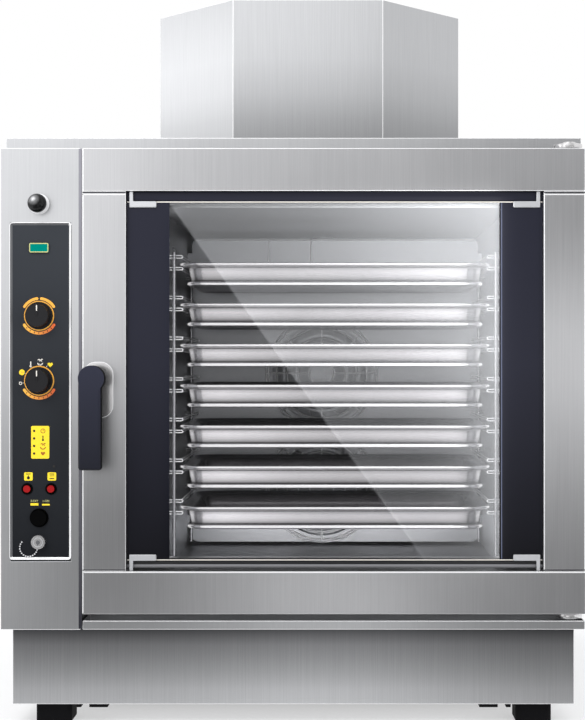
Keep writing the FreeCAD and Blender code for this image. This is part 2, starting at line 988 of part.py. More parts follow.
def rack(label, side):
    """Two posts with a pair of wire runners at each level, one below and one above the tray rim."""
    front = tray_front + d.rack_front_gap
    back = tray_front + d.tray_length - d.rack_front_gap
    post_x = cavity_x + post_reach * side
    foot = cavity_floor + d.rack_foot
    head = tray_top(0) + d.upper_runner_rise + d.rack_head
    pieces = []
    for y in (front, back):
        pieces.append(wire(d.post_radius, "Z", (post_x, y, foot), head - foot))
    cross_reach = cavity_width / 2 - d.fit_gap
    cross_x = cavity_x + (runner_reach if side > 0 else -cross_reach)
    runner_x = cavity_x + runner_reach * side
    for order in range(int(d.tray_count.value)):
        rim_under = tray_top(order) - d.tray_rim - d.fit_gap - d.wire_radius
        for z in (rim_under, tray_top(order) + d.upper_runner_rise):
            start = (runner_x, front - d.wire_radius, z)
            pieces.append(wire(d.wire_radius, "Y", start, back - front + d.wire_radius * 2))
            for y in (front, back):
                pieces.append(wire(d.wire_radius, "X", (cross_x, y, z), cross_reach - runner_reach))
    return part(label, fuse(*pieces))


def tapered_block(low_z, high_z, low_half, slope, corner):
    """A rounded block about the Z axis that widens upwards."""
    body = new_body("taper")
    half_x, half_y = low_half
    rise = as_size(high_z) - low_z
    sketch = new_sketch(body, "XY", low_z)
    add_outline(sketch, rectangle((-half_x, half_x), (-half_y, half_y)))
    pad(body, sketch, rise, slope)
    return round_edges(body, corner, lambda edge: edge.BoundBox.ZLength > rise.value / 2)


def tray(order):
    """A shallow pan with a turned rim and a bead round its foot."""
    centre = (cavity_x, tray_front + d.tray_length / 2, tray_top(order))
    half_x = tray_width / 2
    half_y = d.tray_length / 2
    inset = d.tray_lip + d.tray_taper
    foot = (half_x - inset, half_y - inset)
    bead = (foot[0] + d.bead_reach, foot[1] + d.bead_reach)
    wall = d.tray_wall
    slope = arctangent(d.tray_taper / d.tray_height)
    pan = tapered_block(-d.tray_height, as_size(0), foot, slope, d.tray_corner)
    rim = rounded_block((-half_x, half_x), (-half_y, half_y), (-d.tray_rim, 0), "Z", d.tray_corner)
    foot_bead = rounded_block(
        (-bead[0], bead[0]), (-bead[1], bead[1]),
        (-d.tray_height, d.bead_height - d.tray_height), "Z", d.tray_corner)
    floor_half = (foot[0] - wall, foot[1] - wall)
    hollow = tapered_block(wall - d.tray_height, as_size(0), floor_half, slope, d.tray_corner)
    pan = cut(fuse(pan, rim, foot_bead), hollow)
    return part(f"tray_{order + 1}", place(pan, *centre))


def vent_duct():
    """Square duct from the cavity wall, with a riser whose flange lies on the top cover."""
    y, z = duct_span(as_size(0))
    inner_y, inner_z = duct_span(-d.sheet_wall)
    riser_x = gate_x - d.vent_height
    half = d.vent_height / 2
    liner_left = cavity_left - d.sheet_wall
    slot = d.sheet_wall + d.fit_gap
    flange_y = span_about(vent_y, d.vent_width / 2 + d.vent_flange)
    flange_top = cover_top + d.sheet_wall
    duct = cut(
        fuse(
            box((riser_x - half, liner_left), y, z),
            box(span_about(riser_x, half), y, (z[0], cover_top)),
            box(span_about(riser_x, half + d.vent_flange), flange_y, (cover_top, flange_top)),
        ),
        box((riser_x - half + d.sheet_wall, liner_left), inner_y, inner_z),
        box(span_about(riser_x, half - d.sheet_wall), inner_y, (inner_z[0], flange_top)),
        box(span_about(gate_x, slot), (y[0], inner_y[0]), inner_z),
    )
    return part("vent_duct", duct)


def vent_rod():
    """Pull rod with a cross bar that carries the flat gate of the vent duct."""
    gate_y, gate_z = duct_span(-d.sheet_wall - d.fit_gap)
    bar_y = gate_y[0] - d.vent_width
    bar = d.vent_rod
    start = deep(-d.ball_radius)
    pieces = [
        rod(d.vent_rod, "Y", (control_x, start, ball_z), bar_y - start),
        box((control_x - bar, gate_x + bar), (bar_y, bar_y + bar), span_about(ball_z, bar)),
        box(span_about(gate_x, bar), (bar_y, bar_y + bar), (vent_z - bar, ball_z + bar)),
        box(span_about(gate_x, d.sheet_wall), (bar_y, gate_y[0]), span_about(vent_z, bar)),
        box(span_about(gate_x, d.sheet_wall), gate_y, gate_z),
    ]
    return part("vent_rod", fuse(*pieces))


def vent_knob():
    centre = (control_x, deep(-d.ball_radius - d.fit_gap), ball_z)
    bore = opening_for(d.vent_rod, "Y", (control_x, deep(-d.ball_radius), ball_z), d.ball_radius)
    return part("vent_knob", cut(ball(d.ball_radius, centre), bore))


def hinge_levels():
    """Bottom of each hinge plate: one over the door and one under it."""
    gap = d.cover_clearance / 2
    return {"upper": door_top + gap, "lower": door_bottom - gap - d.hinge_plate}


def hinge_plate(low):
    centre = (hinge_x, hinge_y, low)
    plate_z = (low, low + d.hinge_plate)
    return [
        rod(d.hinge_reach, "Z", centre, d.hinge_plate),
        box(span_about(hinge_x, d.hinge_reach), (hinge_y, frame_plane), plate_z),
    ]


def hinge_brackets():
    levels = hinge_levels()
    pin = d.bush_length - d.fit_gap
    top = levels["upper"] + d.hinge_plate
    upper = fuse(
        *hinge_plate(levels["upper"]),
        rod(d.hinge_pin, "Z", (hinge_x, hinge_y, door_top - pin), levels["upper"] - door_top + pin),
        rod(d.hinge_reach / 2, "Z", (hinge_x, hinge_y, top), d.hinge_bump),
    )
    seat = levels["lower"] + d.hinge_plate
    lower = fuse(
        *hinge_plate(levels["lower"]),
        rod(d.hinge_pin, "Z", (hinge_x, hinge_y, seat), door_bottom + pin - seat),
    )
    return part("hinge_brackets", compound([upper, lower]))


def hinge_bushes():
    """Sleeves in the two door rails that turn on the hinge pins."""
    wall = d.bush_radius - d.hinge_pin - d.fit_gap
    bushes = [
        tube(d.bush_radius, wall, "Z", (hinge_x, hinge_y, low), d.bush_length)
        for low in (door_bottom, door_top - d.bush_length)
    ]
    return part("hinge_bushes", compound(bushes))


def front_drip_rail():
    """A gutter below the door that catches what runs off it."""
    front = deep(d.sheet_wall)
    low = base_top
    rail = cut(
        box((door_left, right), (front, frame_plane), (low, low + d.drip_height)),
        box(
            (door_left + d.sheet_wall, right - d.sheet_wall),
            (front + d.sheet_wall, frame_plane - d.sheet_wall),
            (low + d.sheet_wall, low + d.drip_height),
        ),
    )
    return part("front_drip_rail", rail)


def channel(x, z):
    """A folded door member: front skin and four returns, open at the back."""
    wall = d.sheet_wall
    return cut(
        box(x, (door_face, inner_frame_front), z),
        box((x[0] + wall, x[1] - wall), (door_face + wall, inner_frame_front), (z[0] + wall, z[1] - wall)),
    )


def door_members():
    bush_hole = d.sheet_wall
    top = cut(
        channel((door_left, right), (rail_high, door_top)),
        opening_for(d.bush_radius, "Z", (hinge_x, hinge_y, door_top - bush_hole), bush_hole),
    )
    part("door_top_rail", top)
    bottom = cut(
        channel((door_left, right), (door_bottom, rail_low)),
        opening_for(d.bush_radius, "Z", (hinge_x, hinge_y, door_bottom), bush_hole),
    )
    part("door_bottom_rail", bottom)
    stile_z = (rail_low + d.seam_gap, rail_high - d.seam_gap)
    spindle_hole = opening_for(d.spindle_radius, "Y", (handle_x, door_face, handle_z), d.sheet_wall)
    part("door_left_stile", cut(channel((door_left, glass_left), stile_z), spindle_hole))
    return part("door_right_stile", channel((glass_right, right), stile_z))


def window_span(grow):
    x = (glass_left + d.window_side - grow, glass_right - d.window_side + grow)
    return x, (glass_low - grow, glass_high + grow)


def door_inner_frame():
    frame_y = (inner_frame_front, door_rear)
    x, z = window_span(as_size(0))
    frame = cut(
        box((door_left, right), frame_y, (door_bottom, door_top)),
        rounded_block(x, frame_y, z, "Y", d.window_corner),
        opening_for(d.spindle_radius, "Y", (handle_x, inner_frame_front, handle_z), d.inner_frame_depth),
    )
    return part("door_inner_frame", frame)


def door_glass():
    outer_y = (deep(d.glass_setback), deep(d.glass_setback + d.glass_wall))
    outer_x = (glass_left + d.seam_gap, glass_right - d.seam_gap)
    part("outer_glass", box(outer_x, outer_y, (glass_low, glass_high)))
    x, z = window_span(d.window_corner)
    inner_y = (inner_frame_front - d.inner_glass_wall, inner_frame_front)
    return part("inner_glass", box(x, inner_y, z))


def glass_clips():
    """Four corner clips: a foot on the glass and a stem up or down to the rail."""
    y = (deep(d.glass_setback) - d.clip_wall, deep(d.glass_setback))
    edges_x = ((glass_left, 1), (glass_right, -1))
    edges_z = ((glass_low, rail_low, 1), (glass_high, rail_high, -1))
    clips = []
    for edge_x, inward in edges_x:
        start = edge_x + d.clip_inset * inward
        foot_x = sorted((start, start + d.clip_length * inward), key=lambda size: size.value)
        stem_x = sorted((start, start + d.clip_stem * inward), key=lambda size: size.value)
        for glass_z, rail_z, rise in edges_z:
            foot_z = sorted((glass_z, glass_z + d.clip_height * rise), key=lambda size: size.value)
            stem_z = sorted((rail_z, glass_z + d.clip_height * rise), key=lambda size: size.value)
            clips.append(fuse(
                rounded_block(foot_x, y, foot_z, "Y", d.clip_wall / 2),
                box(stem_x, y, stem_z),
            ))
    return part("glass_clips", compound(clips))


def handle_escutcheon():
    low_x = handle_x - d.handle_boss
    plate = cut(
        rounded_block(
            (low_x, low_x + d.escutcheon_width),
            (door_face - d.escutcheon_wall, door_face),
            (handle_z - d.escutcheon_drop, handle_z + d.escutcheon_rise),
            "Y",
            d.escutcheon_corner,
        ),
        opening_for(
            d.spindle_radius, "Y", (handle_x, door_face - d.escutcheon_wall, handle_z), d.escutcheon_wall),
    )
    return part("handle_escutcheon", plate)


def latch_place():
    """Front face of the latch cam, behind the front frame."""
    return frame_back + d.latch_gap


def handle_lever():
    """Boss and hanging grip in front of the door, on the spindle that goes through it."""
    front = door_face - d.handle_projection
    neck = door_face - d.escutcheon_wall - d.fit_gap
    stem_x = (handle_x - d.handle_boss, handle_x - d.handle_boss + d.handle_stem)
    low = handle_z - d.handle_drop
    grip = prism("XZ", (front, front + d.handle_wall), rectangle(stem_x, (low, handle_z)))
    round_edges(grip, d.handle_wall / 4, lambda edge: edge.BoundBox.ZMin < low.value + 1)
    pieces = [
        grip,
        rod(d.handle_boss, "Y", (handle_x, front, handle_z), d.handle_wall),
        rod(d.handle_neck, "Y", (handle_x, front, handle_z), neck - front),
        rod(d.spindle_radius, "Y", (handle_x, front, handle_z), latch_place() + d.latch_wall - front),
    ]
    return part("handle_lever", fuse(*pieces))


def latch_cam():
    start = latch_place()
    y = (start, start + d.latch_wall)
    tip = handle_z - d.latch_reach
    cam = cut(
        fuse(
            rod(d.latch_width, "Y", (handle_x, start, handle_z), d.latch_wall),
            box(span_about(handle_x, d.latch_width / 2), y, (tip, handle_z)),
        ),
        rod(d.spindle_radius, "Y", (handle_x, start, handle_z), d.latch_wall),
    )
    return part("latch_cam", cam)


def door_striker():
    """A bracket with a catch bar, beside the path of the latch cam."""
    side = handle_x + d.latch_reach + d.latch_gap * 2
    start = latch_place()
    depth = (frame_back, start + d.latch_wall * 2)
    height = span_about(handle_z, d.latch_reach)
    pieces = [
        box((side, side + d.latch_gap), depth, height),
        box((side, side + d.latch_reach), (frame_back, frame_back + d.latch_gap), height),
        rod(d.latch_gap, "Z", (side + d.latch_gap, depth[1], handle_z - d.latch_reach), d.latch_reach * 2),
    ]
    return part("door_striker", fuse(*pieces))


def control_column():
    wall = d.sheet_wall
    column = cut(
        box((left, column_right), (door_face, frame_plane), (base_top, column_top)),
        box(
            (left + wall, column_right - wall),
            (door_face + wall, frame_plane),
            (base_top + wall, column_top - wall),
        ),
        box(fascia_x, (door_face, door_face + wall), fascia_z),
        opening_for(d.vent_rod, "Y", (control_x, door_face, ball_z), wall),
    )
    return part("control_column", column)


knob_heights = {"regulator": fascia_level(d.regulator_share), "selector": fascia_level(d.selector_share)}
button_z = fascia_level(d.button_share)
button_places = {
    "left_button": (control_x - d.button_spread, button_z, d.button_radius, d.button_height),
    "right_button": (control_x + d.button_spread, button_z, d.button_radius, d.button_height),
    "power_button": (control_x, fascia_level(d.power_share), d.power_radius, d.power_height),
}
probe_z = fascia_level(d.probe_share)
switch_bore = d.board_setback / 4


def control_fascia():
    lap = d.fascia_lap
    y = (fascia_face, fascia_back)
    tools = [
        opening_for(d.knob_shaft, "Y", (control_x, fascia_face, z), d.fascia_wall)
        for z in knob_heights.values()
    ]
    for x, z, radius, height in button_places.values():
        tools.append(opening_for(radius, "Y", (x, fascia_face, z), d.fascia_wall))
    tools.append(opening_for(d.probe_socket, "Y", (control_x, fascia_face, probe_z), d.fascia_wall))
    plate = box((fascia_x[0] - lap, fascia_x[1] + lap), y, (fascia_z[0] - lap, fascia_z[1] + lap))
    return part("control_fascia", cut(plate, *tools))


def display_lens():
    low = fascia_level(d.lens_share) - d.lens_height / 2
    lens = rounded_block(
        span_about(control_x, d.lens_width / 2),
        (fascia_face - d.lens_wall, fascia_face),
        (low, low + d.lens_height),
        "Y",
        d.lens_wall / 2,
    )
    return part("display_lens", lens)


def control_board():
    """The board behind the fascia with its rotary and push switches soldered on."""
    board_y = deep(d.board_setback)
    pieces = [box(fascia_x, (board_y, board_y + d.board_wall), fascia_z)]
    bores = []
    for z in knob_heights.values():
        half = d.switch_width / 2
        pieces.append(box(span_about(control_x, half), (fascia_back, board_y), span_about(z, half)))
        bores.append(opening_for(d.knob_shaft, "Y", (control_x, fascia_back, z), switch_bore * 2))
    for x, z, radius, height in button_places.values():
        half = radius + d.board_wall
        pieces.append(box(span_about(x, half), (fascia_back, board_y), span_about(z, half)))
        bores.append(opening_for(radius, "Y", (x, fascia_back, z), switch_bore))
    return part("control_board", cut(fuse(*pieces), *bores))


def knob(name):
    """A tapered knob with a skirt, a pointer ridge and its shaft."""
    z = knob_heights[name]
    skirt_rear = fascia_face - d.fit_gap
    skirt_front = skirt_rear - d.knob_skirt_height
    front = fascia_face - d.knob_height
    grip = doc.addObject("Part::Cone", "grip")
    bind(grip, "Radius1", d.knob_radius - d.pointer_width / 2)
    bind(grip, "Radius2", d.knob_radius)
    bind(grip, "Height", skirt_front - front)
    grip.Placement.Rotation = TURNS["Y"]
    place(grip, control_x, front, z)
    pieces = [
        grip,
        rod(d.knob_skirt, "Y", (control_x, skirt_front, z), d.knob_skirt_height),
        rod(d.knob_shaft, "Y", (control_x, front, z), fascia_back + switch_bore - front),
        box(
            span_about(control_x, d.pointer_width / 2),
            (front - d.pointer_rise, front),
            (z, z + d.pointer_length),
        ),
    ]
    return part(f"{name}_knob", fuse(*pieces))


def button(name):
    x, z, radius, height = button_places[name]
    front = fascia_face - height
    return part(name, rod(radius, "Y", (x, front, z), fascia_back + switch_bore / 2 - front))


def probe_pieces():
    """Socket through the fascia, its screw cap, and the bead chain that keeps the cap."""
    ring_wall = d.chain_wire * 2
    ring_front = fascia_face - ring_wall
    cap_rear = ring_front - d.fit_gap
    cap_front = cap_rear - d.probe_height
    neck_front = cap_rear - d.probe_height / 2
    bore = d.probe_socket + d.fit_gap
    socket_length = deep(d.board_setback) - neck_front
    socket = fuse(
        rod(d.probe_socket, "Y", (control_x, neck_front, probe_z), socket_length),
        rod(d.probe_radius, "Y", (control_x, fascia_back, probe_z), d.fascia_wall),
    )
    part("probe_socket", socket)
    cap = cut(
        rod(d.probe_radius, "Y", (control_x, cap_front, probe_z), d.probe_height),
        rod(bore, "Y", (control_x, neck_front - d.fit_gap, probe_z), d.probe_height),
    )
    part("probe_cap", cap)
    chain_x = control_x + d.chain_shift
    chain_z = probe_z - d.chain_drop
    chain_y = fascia_face - d.chain_bead - d.fit_gap
    start = 140
    sweep = 206
    beads = int(d.chain_beads.value)
    step = sweep / (beads - 1)
    link_length = d.chain_radius * 2 * math.sin(math.radians(step / 2))
    pieces = []
    for order in range(beads):
        angle = math.radians(start + step * order)
        x = chain_x + d.chain_radius * math.cos(angle)
        z = chain_z + d.chain_radius * math.sin(angle)
        bead_front = chain_y - d.chain_bead
        bead_rear = fascia_face if order == 0 else chain_y + d.chain_bead
        pieces.append(wire(d.chain_bead, "Y", (x, bead_front, z), bead_rear - bead_front))
        if order < beads - 1:
            link = wire(d.chain_wire, "Z", (x, chain_y, z), link_length, sides=6)
            heading = start + step * (order + 0.5)
            link.Placement.Rotation = FreeCAD.Rotation(AXES["Y"], -heading)
            pieces.append(link)
    ring = d.probe_radius + d.chain_bead * 2
    pieces.append(tube(ring, ring - bore, "Y", (control_x, ring_front, probe_z), ring_wall))
    return part("probe_chain", fuse(*pieces))


base_plinth()
feet()
side_panel("left_side_panel", (left, left + d.sheet_wall))
side_panel("right_side_panel", (right - d.sheet_wall, right))
rear_panel()
top_cover()
flue_chimney()
flue_pipe()
cavity_shell()
cavity_front_frame()
door_gasket()
fan_baffle()
rack("rack_left", -1)
rack("rack_right", 1)
heat_exchanger()
gas_burner()
fan_motors()
water_valve()
drain_pipe()
cable_gland()
vent_duct()
vent_rod()
vent_knob()
hinge_brackets()
hinge_bushes()
front_drip_rail()
door_members()
door_inner_frame()
door_glass()
glass_clips()
handle_escutcheon()
handle_lever()
latch_cam()
door_striker()
control_column()
control_fascia()
display_lens()
control_board()
probe_pieces()
for name in fan_heights:
    fan(name)
for name in knob_heights:
    knob(name)
for name in button_places:
    button(name)
for order in range(int(d.tray_count.value)):
    tray(order)

doc.recompute()
for item in doc.Objects:
    if "Invalid" in item.State or "Error" in item.State:
        raise RuntimeError(f"{item.Label} did not build")
for item in sub_parts:
    if item.Shape.isNull() or not item.Shape.isValid():
        raise RuntimeError(f"{item.Label} has no valid shape")

os.makedirs("parts", exist_ok=True)
for item in sub_parts:
    item.Shape.exportStep(f"parts/{item.Label}.step")
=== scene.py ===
# %% [markdown]
# # Dressing a combi oven
# The CAD frame already holds every sheet, tray and joint in its place. This lesson gives it
# the looks of the photograph: brushed steel, dark glass, printed controls and studio light.
# The axes are the frame's own: +X right, +Y back, +Z up. Finishes, lamps and cards are in
# metres. Outlines and profiles are in millimetres, as on a workshop drawing.

# %% Load the frame
import json
import math

import bmesh
import bpy
from mathutils import Matrix, Vector

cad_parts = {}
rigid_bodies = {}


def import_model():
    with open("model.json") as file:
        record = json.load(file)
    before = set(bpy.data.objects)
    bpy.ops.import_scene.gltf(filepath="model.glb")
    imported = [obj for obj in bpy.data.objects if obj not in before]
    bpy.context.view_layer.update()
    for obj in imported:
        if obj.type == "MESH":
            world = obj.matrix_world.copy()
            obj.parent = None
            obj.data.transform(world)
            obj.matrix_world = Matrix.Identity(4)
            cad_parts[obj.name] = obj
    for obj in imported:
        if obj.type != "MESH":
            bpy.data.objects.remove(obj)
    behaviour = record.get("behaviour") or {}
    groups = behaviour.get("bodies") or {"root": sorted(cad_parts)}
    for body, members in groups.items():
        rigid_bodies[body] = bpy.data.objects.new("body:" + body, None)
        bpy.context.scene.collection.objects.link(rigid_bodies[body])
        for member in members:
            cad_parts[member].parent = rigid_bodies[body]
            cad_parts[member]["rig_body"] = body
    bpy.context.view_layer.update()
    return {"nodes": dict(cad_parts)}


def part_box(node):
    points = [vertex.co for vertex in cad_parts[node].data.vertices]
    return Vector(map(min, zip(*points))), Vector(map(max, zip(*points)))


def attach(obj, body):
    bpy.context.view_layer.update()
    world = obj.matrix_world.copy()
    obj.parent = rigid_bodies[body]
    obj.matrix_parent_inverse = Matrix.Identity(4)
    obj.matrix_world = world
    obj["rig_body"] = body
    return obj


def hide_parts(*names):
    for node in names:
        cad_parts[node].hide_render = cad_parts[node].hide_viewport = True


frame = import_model()
nodes = frame["nodes"]
MM = 0.001

# %% [markdown]
# ## The camera
# The photograph looks straight at the door from about 2.4 m. Its eye level is the middle of
# the picture. A camera that is turned towards the cavity would make the upright edges lean, so
# the lens is shifted sideways instead, which keeps them upright.

# %% Place the camera
scene = bpy.context.scene
scene.view_settings.view_transform = "Standard"

DISTANCE = 2.4
VIEW_HEIGHT = 1.1448
PIXELS_HIGH = 720
AXIS_PIXELS = 42.5
CAVITY_X = 0.067
EYE_Z = 0.587
door_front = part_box("door_top_rail")[0].y


def linked(name, data):
    """A new object in the scene."""
    item = bpy.data.objects.new(name, data)
    scene.collection.objects.link(item)
    return item


lens = bpy.data.cameras.new("camera")
lens.sensor_fit = "VERTICAL"
lens.sensor_height = 36
lens.lens = lens.sensor_height * DISTANCE / VIEW_HEIGHT
lens.shift_x = -AXIS_PIXELS / PIXELS_HIGH
camera = linked("camera", lens)
camera.location = (CAVITY_X, door_front - DISTANCE, EYE_Z)
camera.rotation_euler = (math.radians(90), 0, 0)
scene.camera = camera
print("lens", round(lens.lens, 2), "mm, camera at", [round(v, 3) for v in camera.location])

# %% [markdown]
# ## A small language for node trees
# Shader graphs read best as sums and products. A `Wire` stands for one output socket:
# arithmetic on it adds Math nodes, `mix` blends two colours by it, and `node` adds any other
# node, its settings first and its sockets after.

# %% Wrap sockets in a class
class Wire:
    """One output socket of a node tree."""

    def __init__(self, tree, socket=None):
        self.tree = tree
        self.socket = socket

    def node(self, kind, settings=None, inputs=None, output=0):
        item = self.tree.nodes.new(kind)
        for name, value in (settings or {}).items():
            setattr(item, name, value)
        for name, value in (inputs or {}).items():
            feed(item.inputs[name], value)
        return Wire(self.tree, item.outputs[output])

    def math(self, operation, first, second):
        return self.node("ShaderNodeMath", {"operation": operation}, {0: first, 1: second})

    def __add__(self, other):
        return self.math("ADD", self, other)

    def __radd__(self, other):
        return self.math("ADD", other, self)

    def __sub__(self, other):
        return self.math("SUBTRACT", self, other)

    def __rsub__(self, other):
        return self.math("SUBTRACT", other, self)

    def __mul__(self, other):
        return self.math("MULTIPLY", self, other)

    def __rmul__(self, other):
        return self.math("MULTIPLY", other, self)

    def __truediv__(self, other):
        return self.math("DIVIDE", self, other)

    def __rtruediv__(self, other):
        return self.math("DIVIDE", other, self)

    def part(self, axis):
        """One component of a vector."""
        return self.node("ShaderNodeSeparateXYZ", {}, {"Vector": self}, axis)

    def mix(self, first, second):
        """Blends two colours, with this wire as the factor."""
        return self.node("ShaderNodeMix", {"data_type": "RGBA"}, {0: self, 6: first, 7: second}, 2)

    def ramp(self, *stops):
        """A colour ramp through pairs of place and grey level."""
        item = self.tree.nodes.new("ShaderNodeValToRGB")
        for order, (place, level) in enumerate(stops):
            elements = item.color_ramp.elements
            element = elements[order] if order < 2 else elements.new(place)
            element.position = place
            element.color = (level, level, level, 1)
        feed(item.inputs[0], self)
        return Wire(self.tree, item.outputs[0])


def feed(socket, value):
    """Links a wire to a socket, or sets a plain value on it."""
    if isinstance(value, Wire):
        socket.id_data.links.new(value.socket, socket)
    else:
        socket.default_value = value


def srgb(red, green, blue):
    """A screen colour of 0 to 255 as the linear colour that shaders use."""
    scaled = [level / 255 for level in (red, green, blue)]
    return (*[v / 12.92 if v <= 0.04045 else ((v + 0.055) / 1.055) ** 2.4 for v in scaled], 1.0)


print("mid grey is", [round(v, 3) for v in srgb(128, 128, 128)])

# %% [markdown]
# ## Finishes
# A finish starts from object coordinates, so its pattern keeps its real scale on every piece.
# Constant values sit on the shader's own sockets. What varies feeds only colour, roughness
# and bump.

# %% Start a finish
finishes = {}


def start_finish(name, **constants):
    """A new material: its shader, and the wire of its object coordinates."""
    material = bpy.data.materials.new(name)
    material.use_nodes = True
    tree = material.node_tree
    shader = tree.nodes["Principled BSDF"]
    for key, value in constants.items():
        shader.inputs[key.replace("_", " ")].default_value = value
    finishes[name] = material
    place = Wire(tree).node("ShaderNodeTexCoord", output="Object")
    return shader, place


def noise(place, scale, detail=4, roughness=0.6):
    """Noise along each axis by its own scale, so that it can be stretched into streaks."""
    spread = place.node("ShaderNodeMapping", {"vector_type": "POINT"}, {"Vector": place, "Scale": scale})
    inputs = {"Vector": spread, "Scale": 1.0, "Detail": detail, "Roughness": roughness}
    return place.node("ShaderNodeTexNoise", {}, inputs)


def bump(height, strength, distance):
    return height.node("ShaderNodeBump", {}, {"Height": height, "Strength": strength, "Distance": distance})


print("a finish can vary in colour, roughness and bump")

# %% [markdown]
# The casing and the door are stainless sheet, brushed from top to bottom. An image of scratches
# would stretch at the folds, so noise is drawn out along one axis instead. The plinth and the
# flue blend into a dark tone along their height. This is painted shade: under the drip rail at
# the top of the plinth, and at the foot of the flue.

# %% Brush the steel
UPRIGHT_GRAIN = (1400, 1400, 7)
LEVEL_GRAIN = (7, 1400, 1400)
PLINTH_TOP, RAIL_SHADE_REACH = 0.158, 0.1
FLUE_FOOT, FOOT_SHADE_REACH = 0.95, 0.3


def brush(shader, place, grain, gloss):
    """Gives a shader the sheen and the fine relief of streaks, and returns their wire."""
    streaks = noise(place, grain, 6, 0.7)
    feed(shader.inputs["Roughness"], streaks * 0.16 + gloss)
    feed(shader.inputs["Normal"], bump(streaks, 0.12, 0.0004))
    return streaks


def brushed_steel(name, dark, light, grain, gloss):
    """Steel brushed along one axis, with faint clouds."""
    shader, place = start_finish(name, Metallic=1.0)
    tone = brush(shader, place, grain, gloss) * 0.7 + noise(place, (5, 5, 5), 3) * 0.3
    feed(shader.inputs["Base Color"], tone.mix(dark, light))


def steel_shaded_by_height(name, dark, light, dull, gloss, unshaded_at):
    """Upright brushed steel that goes over to a painted shade where its height says so."""
    shader, place = start_finish(name, Metallic=1.0)
    streaks = brush(shader, place, UPRIGHT_GRAIN, gloss)
    unshaded = unshaded_at(place.part("Z"))
    feed(shader.inputs["Base Color"], unshaded.mix(dull, streaks.mix(dark, light)))


# Painted shade under the drip rail: the plinth darkens towards its top.
def clear_of_rail_shade(height):
    return ((PLINTH_TOP - height) / RAIL_SHADE_REACH).ramp((0.0, 0.1), (0.3, 0.55), (1.0, 1.0))


# Painted shade at the flue's foot: it darkens towards the top cover.
def clear_of_foot_shade(height):
    stops = ((0.0, 0.44), (0.33, 0.67), (0.5, 0.84), (0.72, 0.98), (0.85, 1.0))
    return ((height - FLUE_FOOT) / FOOT_SHADE_REACH).ramp(*stops)


brushed_steel("casing_steel", srgb(168, 169, 172), srgb(212, 213, 215), UPRIGHT_GRAIN, 0.26)
brushed_steel("door_steel", srgb(164, 165, 168), srgb(214, 214, 216), UPRIGHT_GRAIN, 0.24)
brushed_steel("cavity_steel", srgb(153, 154, 157), srgb(173, 174, 177), LEVEL_GRAIN, 0.32)
brushed_steel("inner_steel", srgb(120, 122, 126), srgb(160, 162, 166), UPRIGHT_GRAIN, 0.4)
brushed_steel("brass", srgb(150, 118, 60), srgb(196, 160, 92), LEVEL_GRAIN, 0.25)
plinth_tones = srgb(160, 161, 164), srgb(208, 209, 211), srgb(40, 40, 44)
steel_shaded_by_height("base_steel", *plinth_tones, 0.28, clear_of_rail_shade)
flue_tones = srgb(168, 169, 172), srgb(212, 213, 215), srgb(0, 0, 0)
steel_shaded_by_height("flue_steel", *flue_tones, 0.26, clear_of_foot_shade)
print("brushed:", ", ".join(finishes))

# %% [markdown]
# Trays, wires and edges are polished, so they have clouds in place of streaks. A tray's wall is
# drawn over a die. Its finish has a painted highlight just below its shoulder and painted shade
# down to its foot, in the middle and up the stack. Lamps that show this would also light the
# cavity walls, so the painted light is part of the finish. It repeats with the pitch of the trays.

# %% Polish the steel
TRAY_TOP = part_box("tray_1")[1].z
TRAY_STEP = TRAY_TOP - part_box("tray_2")[1].z
SHOULDER_DROP, WALL_DEPTH = 0.009, 0.022
TRAYS_LEFT, TRAYS_WIDTH = -0.2, 0.54
STACK_FOOT, STACK_HEIGHT = 0.25, 0.5


def polished_steel(name, dark, light, gloss, metal, shade=None):
    """Steel polished to an even sheen, with faint clouds. A shade darkens it from place to place."""
    shader, place = start_finish(name, Metallic=metal)
    cloud = noise(place, (9, 9, 9), 4)
    colour = cloud.mix(dark, light)
    if shade:
        colour = shade(place).mix(srgb(0, 0, 0), colour)
    feed(shader.inputs["Base Color"], colour)
    feed(shader.inputs["Roughness"], cloud * 0.08 + gloss)


def wall_shade(place):
    """Painted highlight and shade on the tray walls: from their shoulder down, along them and up the stack.
    """
    height = place.part("Z")
    drop = height.math("MODULO", TRAY_TOP - height, TRAY_STEP)
    down = (0.0, 0.6), (0.12, 0.82), (0.3, 1.0), (0.5, 0.9), (0.7, 0.72), (0.85, 0.48), (1.0, 0.2)
    along = (0.14, 1.0), (0.38, 0.7), (0.52, 0.65), (0.85, 0.66), (0.95, 0.8)
    wall = ((drop - SHOULDER_DROP) / WALL_DEPTH).ramp(*down)
    side = ((place.part("X") - TRAYS_LEFT) / TRAYS_WIDTH).ramp(*along)
    level = ((height - STACK_FOOT) / STACK_HEIGHT).ramp((0.2, 1.0), (0.52, 0.93), (0.95, 0.74))
    return wall * side * level


polished_steel("tray_steel", srgb(146, 144, 147), srgb(166, 164, 167), 0.21, 0.8)
polished_steel("rim_steel", srgb(184, 183, 185), srgb(202, 201, 203), 0.17, 0.9)
# A lighter copy of the tray's finish, which the painted shade darkens.
polished_steel("wall_steel", srgb(182, 180, 183), srgb(204, 202, 205), 0.21, 0.8, wall_shade)
polished_steel("wire_steel", srgb(222, 222, 224), srgb(236, 236, 238), 0.3, 0.5)
polished_steel("bright_steel", srgb(206, 205, 206), srgb(228, 227, 228), 0.16, 0.9)
# Near white: a painted highlight for bevels, seams and the lit sides of the fascia frame.
polished_steel("highlight_steel", srgb(238, 238, 239), srgb(250, 250, 250), 0.3, 0.35)
# A darker copy: painted shade on the shaded sides of the fascia frame and in the cap's drop.
polished_steel("shade_steel", srgb(96, 97, 100), srgb(120, 121, 124), 0.4, 0.6)
polished_steel("edge_dark", srgb(34, 34, 40), srgb(46, 46, 52), 0.4, 0.4)
polished_steel("clip_steel", srgb(184, 185, 188), srgb(202, 203, 206), 0.3, 0.45)
polished_steel("post_steel", srgb(128, 128, 131), srgb(146, 146, 149), 0.22, 0.8)
print("tray pitch", round(TRAY_STEP / MM, 1), "mm, finishes:", len(finishes))
